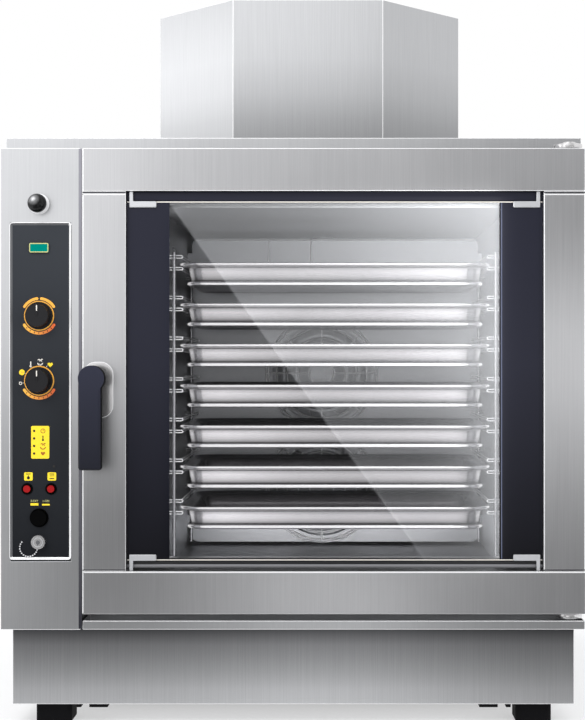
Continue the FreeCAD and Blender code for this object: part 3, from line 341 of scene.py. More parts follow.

# %% [markdown]
# Plastics, rubber, wool and print share one recipe: a colour that wanders a little, a mould
# grain and a roughness that is never quite even. Tall dark pieces also carry painted light:
# darker at the foot, they pale with their height.

# %% Mix plastics, rubber, wool and print
def moulded(name, dark, light, gloss, grain=900, relief=0.1, paling=None, **constants):
    """A moulded or painted surface. Paling names the heights of its dark and its light colour: painted
    light that pales with height.
    """
    shader, place = start_finish(name, **constants)
    fine = noise(place, (grain, grain, grain), 3)
    tone = noise(place, (14, 14, 14), 3)
    if paling:
        foot, head = paling
        tone = (place.part("Z") - foot) * (1 / (head - foot)) + tone * 0.12
    feed(shader.inputs["Base Color"], tone.mix(dark, light))
    feed(shader.inputs["Roughness"], fine * 0.12 + gloss)
    feed(shader.inputs["Normal"], bump(fine, relief, 0.0003))


moulded("knob_black", srgb(24, 24, 26), srgb(34, 34, 36), 0.42, Specular_IOR_Level=0.16)
moulded("button_black", srgb(0, 0, 0), srgb(3, 3, 4), 0.5, Specular_IOR_Level=0.05)
# A lighter copy of the handle's finish: a painted highlight on the lever's edges.
moulded("handle_edge_highlight", srgb(58, 60, 72), srgb(70, 72, 84), 0.3, Specular_IOR_Level=0.5)
moulded("foot_black", srgb(4, 4, 6), srgb(9, 9, 12), 0.7, Specular_IOR_Level=0.15)
moulded("seal_rubber", srgb(26, 26, 28), srgb(40, 40, 42), 0.7)
# Pale grey for a painted reflection of the lower rail's lip.
moulded("lip_reflection_grey", srgb(112, 112, 115), srgb(126, 126, 129), 0.6)
moulded("wool", srgb(196, 178, 120), srgb(222, 206, 150), 0.9, grain=260, relief=0.6)
moulded("motor_grey", srgb(96, 98, 102), srgb(116, 118, 122), 0.5, grain=500)
moulded("board_green", srgb(20, 92, 52), srgb(30, 112, 66), 0.4)
moulded("button_red", srgb(136, 0, 4), srgb(166, 3, 9), 0.26, relief=0.03, Specular_IOR_Level=0.25)
moulded("lens_green", srgb(0, 120, 108), srgb(2, 136, 122), 0.5, relief=0.05, Specular_IOR_Level=0.0)
moulded("print_yellow", srgb(244, 212, 10), srgb(252, 224, 30), 0.45)
moulded("print_orange", srgb(244, 166, 44), srgb(252, 186, 70), 0.45)
moulded("print_white", srgb(214, 208, 198), srgb(232, 228, 220), 0.45)
moulded("print_ink", srgb(20, 18, 16), srgb(34, 30, 26), 0.5)
moulded("print_cream", srgb(188, 186, 118), srgb(204, 202, 136), 0.45)
moulded("print_amber", srgb(150, 84, 10), srgb(176, 106, 20), 0.5)
# Blue grey for a painted reflection along the edge of the right glass band.
moulded("print_line", srgb(92, 100, 128), srgb(104, 112, 140), 0.5)
# Painted light: these pieces are darker at the foot and pale towards the top.
for name, dark, light, gloss, paling, specular in (
    ("fascia_black", srgb(24, 26, 30), srgb(53, 56, 61), 0.5, (0.31, 0.86), 0.1),
    ("handle_dark", srgb(17, 18, 26), srgb(38, 40, 55), 0.34, (0.38, 0.6), 0.22),
    ("gap_shade", srgb(44, 44, 50), srgb(140, 139, 146), 0.5, (0.205, 0.93), 0.1),
    ("print_band", srgb(6, 6, 10), srgb(31, 32, 44), 0.3, (0.24, 0.6), 0.18),
):
    moulded(name, dark, light, gloss, paling=paling, Specular_IOR_Level=specular)
print("finishes:", len(finishes))

# %% [markdown]
# Two finishes stand apart. The bands under the dials turn from yellow to red along their
# length, and the ball knob shows the soft image of a lamp. A real lamp there would light the
# steel round it too, so the image is painted near one spot of the ball.

# %% Mix the heat print and the ball
HEAT_START, HEAT_WIDTH = -0.432, 0.058
GLINT_ASIDE, GLINT_BACK, GLINT_RISE, GLINT_REACH = -0.004, 0.002, 0.0055, 0.0112


def middle_of(node):
    """The X and Z of a node's middle, in millimetres."""
    low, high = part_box(node)
    return (low.x + high.x) / 2 / MM, (low.z + high.z) / 2 / MM


def heat_print(name, start, width):
    """Ink that turns from yellow to red along X."""
    shader, place = start_finish(name, Roughness=0.45)
    warm = (place.part("X") - start) * (1 / width) + noise(place, (400, 400, 400), 2) * 0.1
    feed(shader.inputs["Base Color"], warm.mix(srgb(252, 196, 70), srgb(236, 92, 30)))


def ball_black(name, spot, reach):
    """Polished black plastic with the soft image of a lamp near a spot."""
    shader, place = start_finish(name, Roughness=0.14, Specular_IOR_Level=0.3)
    away = place.node("ShaderNodeVectorMath", {"operation": "DISTANCE"}, {0: place, 1: spot}, "Value")
    lit = (away / reach + noise(place, (300, 300, 300), 2) * 0.1).ramp((0.1, 1.0), (0.5, 0.22), (1.0, 0.0))
    feed(shader.inputs["Base Color"], lit.mix(srgb(8, 8, 10), srgb(226, 226, 228)))


ball_at = middle_of("vent_knob")
ball_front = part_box("vent_knob")[0].y
glint = (ball_at[0] * MM + GLINT_ASIDE, ball_front + GLINT_BACK, ball_at[1] * MM + GLINT_RISE)
ball_black("ball_black", glint, GLINT_REACH)
heat_print("print_heat", HEAT_START, HEAT_WIDTH)
print("glint at", [round(v, 4) for v in glint])

# %% [markdown]
# Glass lets most light straight through and mirrors a small share at each of its two faces. A
# glass shader would bend the light at every face and needs many bounces to get out of the
# cavity, so a clear and a mirror shader are mixed by that share, with faint smears from
# cleaning.

# %% Mix the window glass
def window_glass(name, tint, share):
    shader, place = start_finish(name, Metallic=1.0, Roughness=0.02, Base_Color=srgb(244, 246, 250))
    smear = noise(place, (3, 3, 9), 3)
    mirrored = (smear * 0.4 + 0.8) * share
    clear = place.node("ShaderNodeBsdfTransparent", {}, {"Color": tint})
    gloss = Wire(place.tree, shader.outputs["BSDF"])
    joined = place.node("ShaderNodeMixShader", {}, {0: mirrored, 1: clear, 2: gloss})
    feed(place.tree.nodes["Material Output"].inputs["Surface"], joined)


window_glass("window_glass", srgb(252, 252, 252), 0.068)
window_glass("inner_pane", srgb(252, 252, 252), 0.012)
print("glass uses", len(finishes["window_glass"].node_tree.nodes), "nodes")

# %% [markdown]
# ## Dress the CAD nodes
# Each node already names its material slot, so the finish of the same name goes into it.
# The node's mesh stays as it is.

# %% Put a finish on every node
slot_of = {}
for name, item in nodes.items():
    slot_of[name] = item.data.materials[0].name.split(".")[0]
    item.data.materials[0] = finishes[slot_of[name]]
nodes["inner_glass"].data.materials[0] = finishes["inner_pane"]
nodes["power_button"].data.materials[0] = finishes["button_black"]
print("slots in use:", sorted(set(slot_of.values())))

# %% [markdown]
# ## Rounded edges
# Folded sheet and moulded plastic never end in a knife edge, and it is the rounded edge that
# catches the light. A bevel modifier on the node itself would change the CAD mesh. So a copy of
# the node is welded, its flat faces are joined, its sharp edges are bevelled, and the copy
# stands for the node. On steel the bevels get a near-white finish of their own, a painted
# highlight along the edges.

# %% Say which faces get which finish
def add_piece(name, mesh, finish, body):
    """Links a new mesh as a piece that rides on a body."""
    mesh.materials.clear()
    mesh.materials.append(finishes[finish])
    piece = linked(name, mesh)
    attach(piece, body)
    return piece


BRIGHT_EDGED = (
    "control_column", "door_top_rail", "door_bottom_rail", "door_left_stile", "door_right_stile",
    "top_cover", "front_drip_rail", "flue_chimney", "base_plinth", "handle_escutcheon",
)
EDGE_FINISH = {**{node: "highlight_steel" for node in BRIGHT_EDGED}, "handle_lever": "handle_edge_highlight"}
OWN_FINISH = {
    "base_plinth": "base_steel",
    "flue_chimney": "flue_steel",
    "hinge_brackets": "bright_steel",
    "glass_clips": "clip_steel",
}
PARTLY_BLACK = ("handle_lever", "base_plinth")
LUG_TOP = 0.0325
CONTROL_X = -403.8
RECESS_HALF, RECESS_MIDDLE, RECESS_RISE = 0.058, 0.537, 0.3


def in_recess(node, face):
    """Whether a bevel lies inside the recess of the fascia, where it gets no painted highlight."""
    beside = abs(face.center.x - CONTROL_X * MM) < RECESS_HALF
    return node == "control_column" and beside and abs(face.center.z - RECESS_MIDDLE) < RECESS_RISE


def finish_number(node, face, bevelled):
    """0 for a node's own finish, 1 for the painted highlight of its edges, 2 for black: painted shadow on
    the lever's sides, and the lugs' own black.
    """
    # Black on the lever's sides is a painted shadow; the lugs are black of their own.
    lever_shadow = node == "handle_lever" and not bevelled and face.normal.y > -0.5
    lug = node == "base_plinth" and face.center.z < LUG_TOP
    if lever_shadow or lug:
        return 2
    return 1 if bevelled and not in_recess(node, face) else 0


print("nodes with edges of their own:", len(EDGE_FINISH))

# %% [markdown]
# While the copy is bevelled, a face's material number only tells what it is: a large flat face,
# a bevel or the rest. Flat faces are shaded flat, and the others smooth.

# %% Round the edges of folded and moulded pieces
SMALL_FACE = 0.0003
BEVEL, FLAT = 1, 2
WELD_GAP, WIDE_BEVEL = 1e-5, 0.003
FLAT_ANGLE, SHARP_ANGLE, SMOOTH_ANGLE = math.radians(2), math.radians(35), math.radians(38)


def softened(node, width):
    """A copy of a CAD node with bevelled edges, which stands for the node."""
    mesh = nodes[node].data.copy()
    if "custom_normal" in mesh.attributes:
        mesh.attributes.remove(mesh.attributes["custom_normal"])
    form = bmesh.new()
    form.from_mesh(mesh)
    bmesh.ops.remove_doubles(form, verts=form.verts, dist=WELD_GAP)
    bmesh.ops.dissolve_limit(form, angle_limit=FLAT_ANGLE, verts=form.verts, edges=form.edges)
    for face in form.faces:
        face.material_index = FLAT if face.calc_area() > SMALL_FACE else 0
    sharp = [e for e in form.edges if e.is_manifold and e.calc_face_angle() > SHARP_ANGLE]
    bmesh.ops.bevel(form, geom=sharp, offset=width, segments=3 if width > WIDE_BEVEL else 2,
                    profile=0.5, affect="EDGES", clamp_overlap=True, material=BEVEL)
    bmesh.ops.triangulate(form, faces=[f for f in form.faces if len(f.verts) > 4])
    bevelled = [face.material_index == BEVEL for face in form.faces]
    rounded = [face.material_index != FLAT for face in form.faces]
    form.to_mesh(mesh)
    form.free()
    mesh.set_sharp_from_angle(angle=SMOOTH_ANGLE)
    mesh.polygons.foreach_set("use_smooth", rounded)
    slot = slot_of[node]
    finish = OWN_FINISH.get(node, slot)
    piece = add_piece(f"{node}_rounded", mesh, finish, nodes[node]["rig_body"])
    if node in EDGE_FINISH:
        mesh.materials.append(finishes[EDGE_FINISH[node]])
        if node in PARTLY_BLACK:
            mesh.materials.append(finishes["foot_black"])
        for face, edge in zip(mesh.polygons, bevelled):
            face.material_index = finish_number(node, face, edge)
    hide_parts(node)
    return piece


ROUNDED = {
    "control_column": 0.0016,
    "door_top_rail": 0.0016,
    "door_bottom_rail": 0.0016,
    "door_left_stile": 0.0016,
    "door_right_stile": 0.0016,
    "top_cover": 0.0009,
    "front_drip_rail": 0.0009,
    "glass_clips": 0.0012,
    "hinge_brackets": 0.0012,
    "handle_lever": 0.0035,
    "handle_escutcheon": 0.0007,
    "feet": 0.002,
    "flue_chimney": 0.0008,
    "base_plinth": 0.0009,
}
for node, width in ROUNDED.items():
    piece = softened(node, width)
    print(piece.name, len(piece.data.polygons), "faces")

# %% [markdown]
# ## Prints on the fascia and the glass
# The fascia is screen printed. An image texture would blur from near by, so prints are thin
# plates cut from outlines. The outlines are drawn in millimetres on the front plane, X to the
# right and Z up, and a plate carries any number of them.

# %% Draw outlines
def arc(centre, radius, start, stop, steps=24):
    """Points along an arc, with its angles in degrees."""
    turns = [math.radians(start + (stop - start) * i / steps) for i in range(steps + 1)]
    return [(centre[0] + radius * math.cos(t), centre[1] + radius * math.sin(t)) for t in turns]


def dot(centre, radius, steps=16):
    """A round spot. Its last point stops short of its first."""
    return arc(centre, radius, 0, 345, steps)


def band(centre, inner, outer, start, stop):
    """A bent strip with round ends."""
    middle = (inner + outer) / 2
    half = (outer - inner) / 2
    ends = []
    for angle, turn in ((stop, 0), (start, 180)):
        tip = arc(centre, middle, angle, angle, 1)[0]
        ends.append(arc(tip, half, angle + turn, angle + turn + 180, 8))
    return (arc(centre, outer, start, stop)[:-1] + ends[0]
            + arc(centre, inner, stop, start)[1:-1] + ends[1][:-1])


def ring(centre, inner, outer):
    """Two half rings, because an outline has no hole."""
    return [
        arc(centre, outer, turn, turn + 180) + arc(centre, inner, turn + 180, turn)
        for turn in (0, 180)
    ]


def round_box(x, z, radius, steps=5, grow=0.0):
    """A rectangle with round corners, grown on all sides."""
    left, right, low, high = x[0] - grow, x[1] + grow, z[0] - grow, z[1] + grow
    corners = [(right - radius, high - radius, 0), (left + radius, high - radius, 90),
               (left + radius, low + radius, 180), (right - radius, low + radius, 270)]
    return [p for cx, cz, turn in corners for p in arc((cx, cz), radius, turn, turn + 90, steps)]


def stroke(first, last, width):
    """A straight bar between two points."""
    along = Vector(last) - Vector(first)
    side = Vector((-along.y, along.x)).normalized() * width / 2
    return [tuple(Vector(p) + s) for p, s in ((first, -side), (last, -side), (last, side), (first, side))]


def spoke(centre, inner, outer, turn, width):
    """A bar that points away from a centre."""
    ends = [arc(centre, radius, turn, turn, 1)[0] for radius in (inner, outer)]
    return stroke(*ends, width)


print("a band has", len(band((0, 0), 4, 5, 0, 90)), "points")

# %% [markdown]
# An outline becomes a plate by filling it and pulling it forward. The plate sinks a little
# into what carries it, so nothing floats.

# %% Cut the plates
FASCIA_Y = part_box("control_fascia")[0].y / MM


def made_mesh(name, form, split=False):
    """Turns the faces of a form outwards and makes it a mesh. Faces with many corners can be split."""
    bmesh.ops.recalc_face_normals(form, faces=form.faces)
    if split:
        bmesh.ops.triangulate(form, faces=[f for f in form.faces if len(f.verts) > 4])
    mesh = bpy.data.meshes.new(name)
    form.to_mesh(mesh)
    form.free()
    return mesh


def plate(name, outlines, back, thickness, finish, body):
    """A thin plate for each outline, with its back at a given Y in millimetres."""
    form = bmesh.new()
    for outline in outlines:
        corners = [form.verts.new((x * MM, back * MM, z * MM)) for x, z in outline]
        face = form.faces.new(corners)
        front = bmesh.ops.extrude_face_region(form, geom=[face])["geom"]
        moved = [v for v in front if isinstance(v, bmesh.types.BMVert)]
        bmesh.ops.translate(form, verts=moved, vec=(0, -thickness * MM, 0))
    return add_piece(name, made_mesh(name, form, split=True), finish, body)


def print_on_fascia(name, outlines, finish, lift=0.0):
    """A print that stands proud by half of its thickness, or by more where it lies on another one."""
    return plate(name, outlines, FASCIA_Y + 0.3 - lift, 0.6, finish, "cabinet")


ON_PRINT = 0.1
REGULATOR_Z = 657.4
SELECTOR_Z = 554.0
RING_RADII, TOP_BAND, LOW_BAND, TICK = (21.2, 23.9), (25.2, 29.6), (25.4, 30.0), (26.4, 29.0)
regulator, selector = (CONTROL_X, REGULATOR_Z), (CONTROL_X, SELECTOR_Z)
dials = (regulator, selector)
print_on_fascia("dial_rings", [half for dial in dials for half in ring(dial, *RING_RADII)], "print_orange")
tops = [band(regulator, *TOP_BAND, 97, 148), band(regulator, *TOP_BAND, 32, 83)]
print_on_fascia("dial_top_bands", tops, "print_orange")
print_on_fascia("dial_low_bands", [band(dial, *LOW_BAND, 212, 328) for dial in dials], "print_heat")
ticks = [spoke(dial, *TICK, turn, 1.1) for dial in dials for turn in range(224, 327, 15)]
print_on_fascia("dial_ticks", ticks, "print_ink", ON_PRINT)
print("dial ticks:", len(ticks))

# %% [markdown]
# The selector is ringed by small signs: off, dry heat, mixed heat, steam and keep warm.
# They are plain pictograms. Each is drawn from arcs and bars that grow with its size, so it can
# be used again on the lamp plate.

# %% Draw the signs
def heart(centre, size, steps=28):
    points = []
    for step in range(steps):
        t = math.radians(step * 360 / steps)
        x = 16 * math.sin(t) ** 3
        z = 13 * math.cos(t) - 5 * math.cos(2 * t) - 2 * math.cos(3 * t) - math.cos(4 * t)
        points.append((centre[0] + x * size / 34, centre[1] + z * size / 34))
    return points


def steam(centre, size):
    """Two curling wisps over a bowl."""
    x, z = centre
    return [
        band((x, z - size * 0.05), size * 0.36, size * 0.54, 200, 340),
        band((x - size * 0.2, z + size * 0.3), size * 0.1, size * 0.26, -40, 150),
        band((x + size * 0.32, z + size * 0.34), size * 0.08, size * 0.24, 60, 260),
    ]


def thermometer(centre, size):
    x, z = centre
    return [
        round_box((x - size * 0.1, x + size * 0.1), (z - size * 0.2, z + size * 0.5), size * 0.09),
        dot((x, z - size * 0.34), size * 0.2),
    ]


def by_selector(across, up):
    """A place beside the selector's axis."""
    return CONTROL_X + across, SELECTOR_Z + up


SIGN_SIZE = 9
SIGN_TURNS, SIGN_TICK = (188, 152, 118, 88, 62), (24.6, 27.4)
signs = ring(by_selector(-29.6, -4), 1.4, 2.6)
signs += thermometer(by_selector(-13.4, 26.2), SIGN_SIZE)
signs += steam(by_selector(1.6, 29.6), SIGN_SIZE)
signs += [spoke(selector, *SIGN_TICK, turn, 0.8) for turn in SIGN_TURNS]
print_on_fascia("selector_signs", signs, "print_white")
sun = by_selector(-27.4, 13.4)
yellow_signs = [dot(sun, 4.6, 23), heart(by_selector(17.6, 25.6), SIGN_SIZE)]
print_on_fascia("selector_yellow_signs", yellow_signs, "print_yellow")
print_on_fascia("selector_sun_heart", [dot(sun, 1.6, 12)], "print_orange", ON_PRINT)
print("selector signs:", len(signs))

# %% [markdown]
# Below the selector a yellow plate names the four lamps, and yellow squares and bars mark the
# buttons and the switch. They are prints as well, with their signs lying on them.

# %% Print the lamp plate and the button squares
PLATE_X, PLATE_Z = (-416.5, -387.6), (430.1, 482.1)
LAMP_X, SIGN_X, LAMP_ROWS = -411.7, -397.7, (474.1, 462.2, 450.3, 438.2)
timer_z, heat_z, steam_z, warm_z = LAMP_ROWS
print_on_fascia("lamp_plate", [round_box(PLATE_X, PLATE_Z, 2.2)], "print_yellow")
print_on_fascia("lamp_dots", [dot((LAMP_X, z), 1.9) for z in LAMP_ROWS], "print_ink", 0.25)
plate_signs = ring((SIGN_X, timer_z), 2.7, 3.8)
plate_signs += [stroke((SIGN_X, timer_z - 0.2), (SIGN_X + 0.6, timer_z + 2.2), 1.1)]
plate_signs += steam((SIGN_X, steam_z - 0.6), SIGN_SIZE) + [heart((SIGN_X, warm_z), 7.6)]
print_on_fascia("lamp_plate_signs", plate_signs, "print_amber", ON_PRINT)
print_on_fascia("lamp_plate_heat", thermometer((SIGN_X, heat_z + 0.4), 8.4), "print_ink", ON_PRINT)

SQUARE_Z = (395.1, 408.3)
LEFT_SQUARE, RIGHT_SQUARE = (-427.6, -414.1), (-390.4, -376.6)
LEFT_SIGN, RIGHT_SIGN, SIGN_WIDTH = -424.6, -387.2, 7.4
BULB_X = -420.9
OFF_BAR, ON_BAR = ((-417.5, -404.9), (355.5, 359.2)), ((-399.2, -387.0), (355.5, 358.1))
PIN_HOLE = (-380.3, 417.8)
squares = [round_box(x, SQUARE_Z, 2) for x in (LEFT_SQUARE, RIGHT_SQUARE)]
print_on_fascia("button_squares", squares, "print_yellow")
square_signs = [
    stroke((x, z), (x + SIGN_WIDTH, z), width)
    for x, z, width in ((LEFT_SIGN, 405.6, 1.3), (RIGHT_SIGN, 405.6, 1.3),
                        (RIGHT_SIGN, 402.6, 0.9), (RIGHT_SIGN, 398.4, 1.6))
]
square_signs += [dot((BULB_X, 399.4), 2.5, 14), stroke((BULB_X, 400), (BULB_X, 403.6), 1.3)]
print_on_fascia("button_square_signs", square_signs, "print_ink", ON_PRINT)
print_on_fascia("switch_bars", [round_box(*bar, 0.5) for bar in (OFF_BAR, ON_BAR)], "print_yellow")
print_on_fascia("pin_hole", [dot(PIN_HOLE, 1.9)], "print_ink")
print("signs on the plate and the squares:", len(plate_signs) + len(square_signs))

# %% [markdown]
# A pale line runs round the display lens. An outline has no hole, so the line is cut into two
# halves that meet at opposite corners.

# %% Line the display lens
lens_low, lens_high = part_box("display_lens")
lens_x = (lens_low.x / MM, lens_high.x / MM)
lens_z = (lens_low.z / MM, lens_high.z / MM)
edge = round_box(lens_x, lens_z, 2.4, grow=0.2)
inside = round_box(lens_x, lens_z, 1.0, grow=-1.2)
half = len(edge) // 2
halves = [
    edge[:half + 1] + inside[:half + 1][::-1],
    edge[half:] + edge[:1] + inside[:1] + inside[half:][::-1],
]
plate("lens_border", halves, lens_low.y / MM + 0.2, 0.5, "print_cream", "cabinet")

# %% [markdown]
# The words at the switch are short and generic. Letters could be drawn as outlines too, but a
# text curve already has their shape. Its mesh is turned from the ground plane to the front
# plane.

# %% Write the switch words
OFF_X, ON_X, WORD_Z, WORD_HEIGHT = -411.2, -393.1, 361.2, 4.6


def lettering(name, words, x):
    """A line of letters that stands on the fascia, centred on an X in millimetres."""
    curve = bpy.data.curves.new(name, "FONT")
    curve.body = words
    curve.size = WORD_HEIGHT * MM
    curve.extrude = 0.0003
    curve.align_x = "CENTER"
    source = bpy.data.objects.new(name, curve)
    mesh = bpy.data.meshes.new_from_object(source)
    bpy.data.objects.remove(source)
    turn = Matrix.Rotation(math.radians(90), 4, "X")
    mesh.transform(Matrix.Translation((x * MM, (FASCIA_Y - 0.1) * MM, WORD_Z * MM)) @ turn)
    mesh.name = name
    return add_piece(name, mesh, "print_cream", "cabinet")


lettering("off_word", "0-OFF", OFF_X)
lettering("on_word", "1-ON", ON_X)
print("words stand at", round(FASCIA_Y, 1), "mm")

# %% [markdown]
# ## Turned pieces
# Bezels, washers and cap rings are round. A torus or a cylinder would need cutting to shape, so
# each is a profile turned about its own axis instead. A profile is a list of radius and Y pairs
# in millimetres.

# %% Turn profiles into rings
def bridge(form, upper, lower):
    """Faces between two closed rows of corners."""
    count = len(upper)
    pairs = [(i, (i + 1) % count) for i in range(count)]
    return [form.faces.new((upper[i], upper[j], lower[j], lower[i])) for i, j in pairs]


def turned_mesh(name, centre, profile, steps=48):
    """A closed profile turned about the Y axis through a centre."""
    form = bmesh.new()
    loops = []
    for step in range(steps):
        t = math.radians(360 * step / steps)
        spin = (math.cos(t), math.sin(t))
        loops.append([
            form.verts.new(((centre[0] + r * spin[0]) * MM, y * MM, (centre[1] + r * spin[1]) * MM))
            for r, y in profile
        ])
    for here, there in zip(loops, loops[1:] + loops[:1]):
        bridge(form, here, there)
    mesh = made_mesh(name, form)
    mesh.shade_smooth()
    mesh.set_sharp_from_angle(angle=math.radians(50))
    return mesh


def turned(name, centre, profile, finish, body):
    return add_piece(name, turned_mesh(name, centre, profile), finish, body)


def bezel(name, centre, inner, outer, rise):
    """A low black ring on the fascia with a rounded crown between two radii."""
    back = FASCIA_Y + 0.2
    crown = [(outer - (outer - inner) * (1 - math.cos(t)) / 2, FASCIA_Y - rise * math.sin(t))
             for t in [math.radians(a) for a in range(0, 181, 20)]]
    profile = [(outer, back)] + crown + [(inner, back)]
    return turned(name, centre, profile, "button_black", "cabinet")


BUTTON_Z, BUTTON_APART, POWER_Z = 382, 19, 335.9
BUTTON_BEZEL, POWER_BEZEL = (5.95, 9.2, 2.4), (12.75, 15.0, 1.6)
for side, x in (("left", CONTROL_X - BUTTON_APART), ("right", CONTROL_X + BUTTON_APART)):
    bezel(f"{side}_button_bezel", (x, BUTTON_Z), *BUTTON_BEZEL)
bezel("power_button_bezel", (CONTROL_X, POWER_Z), *POWER_BEZEL)
print("bezels stand round 3 buttons")

# %% [markdown]
# The probe cap carries a bright ring and a dark drop, painted shade that stands for a drop
# pressed into it. The ball knob has a washer behind it, and each dial knob has a white line
# that rides with it.

# %% Trim the cap and the knobs
CAP_RING = (6.6, 7.6)
WASHER_BORE, WASHER_RADIUS = 5.6, 16.6
MARK_HALF, MARK_RISE = 0.9, (7.2, 16.2)

cap_at = middle_of("probe_cap")
cap_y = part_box("probe_cap")[0].y / MM
inner, outer = CAP_RING
cap_ring = [(inner, cap_y + 0.2), (outer, cap_y + 0.2), (outer, cap_y - 0.3), (inner, cap_y - 0.3)]
turned("probe_cap_ring", cap_at, cap_ring, "clip_steel", "probe_cover")
drop = arc(cap_at, 3.2, -60, 210, 16) + [(cap_at[0] - 0.6, cap_at[1] - 5.2)]
# The dark drop is painted shade for a drop pressed into the cap.
plate("probe_cap_mark", [drop], cap_y + 0.2, 0.6, "shade_steel", "probe_cover")

door_y = door_front / MM
washer = [
    (WASHER_BORE, door_y + 0.2), (WASHER_RADIUS, door_y + 0.2), (WASHER_RADIUS, door_y - 0.5),
    (WASHER_RADIUS - 0.6, door_y - 1.0), (WASHER_BORE, door_y - 1.0),
]
turned("vent_washer", ball_at, washer, "wire_steel", "cabinet")
for name, z in (("regulator", REGULATOR_Z), ("selector", SELECTOR_Z)):
    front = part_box(f"{name}_knob")[0].y / MM
    rise = (z + MARK_RISE[0], z + MARK_RISE[1])
    mark = round_box((CONTROL_X - MARK_HALF, CONTROL_X + MARK_HALF), rise, 0.5)
    plate(f"{name}_mark", [mark], front + 0.2, 0.5, "print_white", name)
print("cap, washer and marks done")

# %% [markdown]
# The fascia lies in a shallow recess. A chamfered frame leads down to it: its right and lower
# sides, which face the light, get a painted highlight, and the other two a painted shade. A bevel
# would give all four sides one width and one finish, so the frame is built from rows of corners.

# %% Frame the fascia
RECESS_X, RECESS_Z = (-446.2, -356.0), (273.2, 801.4)
RECESS_CORNER, RECESS_LIP = 1.2, 4.4


def recess_frame(name, front, back):
    """A chamfered frame from an outer outline in front to an inner one further back."""
    outer, crest, inner = [
        round_box(RECESS_X, RECESS_Z, RECESS_CORNER + lip, grow=lip)
        for lip in (RECESS_LIP, RECESS_LIP * 0.8, 0.0)
    ]
    form = bmesh.new()
    steps = [(outer, front + 0.5), (outer, front - 0.3), (crest, front - 0.5),
             (inner, back), (inner, back + 0.6)]
    rows = [[form.verts.new((px * MM, y * MM, pz * MM)) for px, pz in outline] for outline, y in steps]
    for upper, lower in zip(rows, rows[1:] + rows[:1]):
        bridge(form, upper, lower)
    mesh = made_mesh(name, form)
    piece = add_piece(name, mesh, "highlight_steel", "cabinet")
    mesh.materials.append(finishes["shade_steel"])
    # Faces turned left or up get the painted highlight, the others the painted shade.
    for face in mesh.polygons:
        face.material_index = 0 if face.normal.x < -0.1 or face.normal.z > 0.1 else 1
    return piece


recess_frame("fascia_frame", door_y, FASCIA_Y - 0.1)
print("frame from", round(door_y, 1), "to", round(FASCIA_Y, 1), "mm")

# %% [markdown]
# A dark gap parts the column from the door. Its strip is painted shade, darker towards its foot.
# Where the rails of the door meet the stiles, a thin dark seam runs beside a painted highlight,
# and painted highlights run along the top of the lower rail and the left edge of the door.
# Grooves this fine would need a cut in every sheet, so thin strips are laid on the sheets instead,
# a tenth of a millimetre proud. The dark bands at the sides of the window are printed on the glass.

# %% Lay the seams and the glass prints
GAP_X, GAP_Z = (-340.6, -335.4), (159.5, 923.0)
LEFT_PRINT, RIGHT_PRINT = (-265.0, -197.0), (329.4, 398.3)
DARK_SEAMS = ((852.4, 854.5), (252.1, 253.8))
SEAM_HIGHLIGHT, RAIL_HIGHLIGHT, SIDE_HIGHLIGHT_WIDTH = (849.4, 851.0), (248.4, 250.2), 1.7
SEAM_CORNER = 0.2
STRIP_BACK, STRIP_THICK = door_y + 0.5, 0.6

# Painted shade: the gap strip is darker towards its foot.
gap_strip = [round_box(GAP_X, GAP_Z, 0.6)]
plate("column_gap_strip", gap_strip, STRIP_BACK, STRIP_THICK, "gap_shade", "cabinet")
glass_low, glass_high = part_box("outer_glass")
glass_y = glass_low.y / MM
glass_z = (glass_low.z / MM + 0.3, glass_high.z / MM - 0.3)
for side, x in (("left", LEFT_PRINT), ("right", RIGHT_PRINT)):
    outline = round_box(x, glass_z, 0.5)
    plate(f"{side}_glass_print", [outline], glass_y + 0.05, 0.3, "print_band", "door")

dark_seams, highlight_lines = [], []
for stile in ("door_left_stile", "door_right_stile"):
    low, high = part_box(stile)
    x = (low.x / MM + 0.4, high.x / MM - 0.4)
    dark_seams += [round_box(x, z, SEAM_CORNER) for z in DARK_SEAMS]
    highlight_lines.append(round_box(x, SEAM_HIGHLIGHT, SEAM_CORNER))
door_low, door_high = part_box("door_bottom_rail")[0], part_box("door_top_rail")[1]
door_left = door_low.x / MM
door_height = (door_low.z / MM + 1.5, door_high.z / MM - 1.5)
# Painted highlights on the lower rail's top and the door's left edge.
highlight_lines.append(round_box((door_left + 2.0, door_high.x / MM - 0.4), RAIL_HIGHLIGHT, SEAM_CORNER))
highlight_lines.append(round_box((door_left, door_left + SIDE_HIGHLIGHT_WIDTH), door_height, SEAM_CORNER))
plate("door_dark_seams", dark_seams, STRIP_BACK, STRIP_THICK, "edge_dark", "door")
plate("door_light_seams", highlight_lines, STRIP_BACK, STRIP_THICK, "highlight_steel", "door")
print("seams:", len(dark_seams), "dark and", len(highlight_lines), "light")

# %% [markdown]
# ## Trays and racks
# A pressed tray has a rolled rim, a tapering wall with round corners and a bead round its
# foot. A box with bevels has none of these, so each tray is a stack of rounded rectangles, drawn
# inwards and down from the rim and back up the inside. It stands for the plain CAD tray.

# %% Press the trays
RIM_OVERHANG = 4.0
RIM_CORNER, LEAST_CORNER = 36, 14
RIM_RADIUS = 2.6
BEAD_INSET, BEAD_DROP, BEAD_BULGE, BEAD_HALF = 14.6, 35.9, 3.2, 3.7


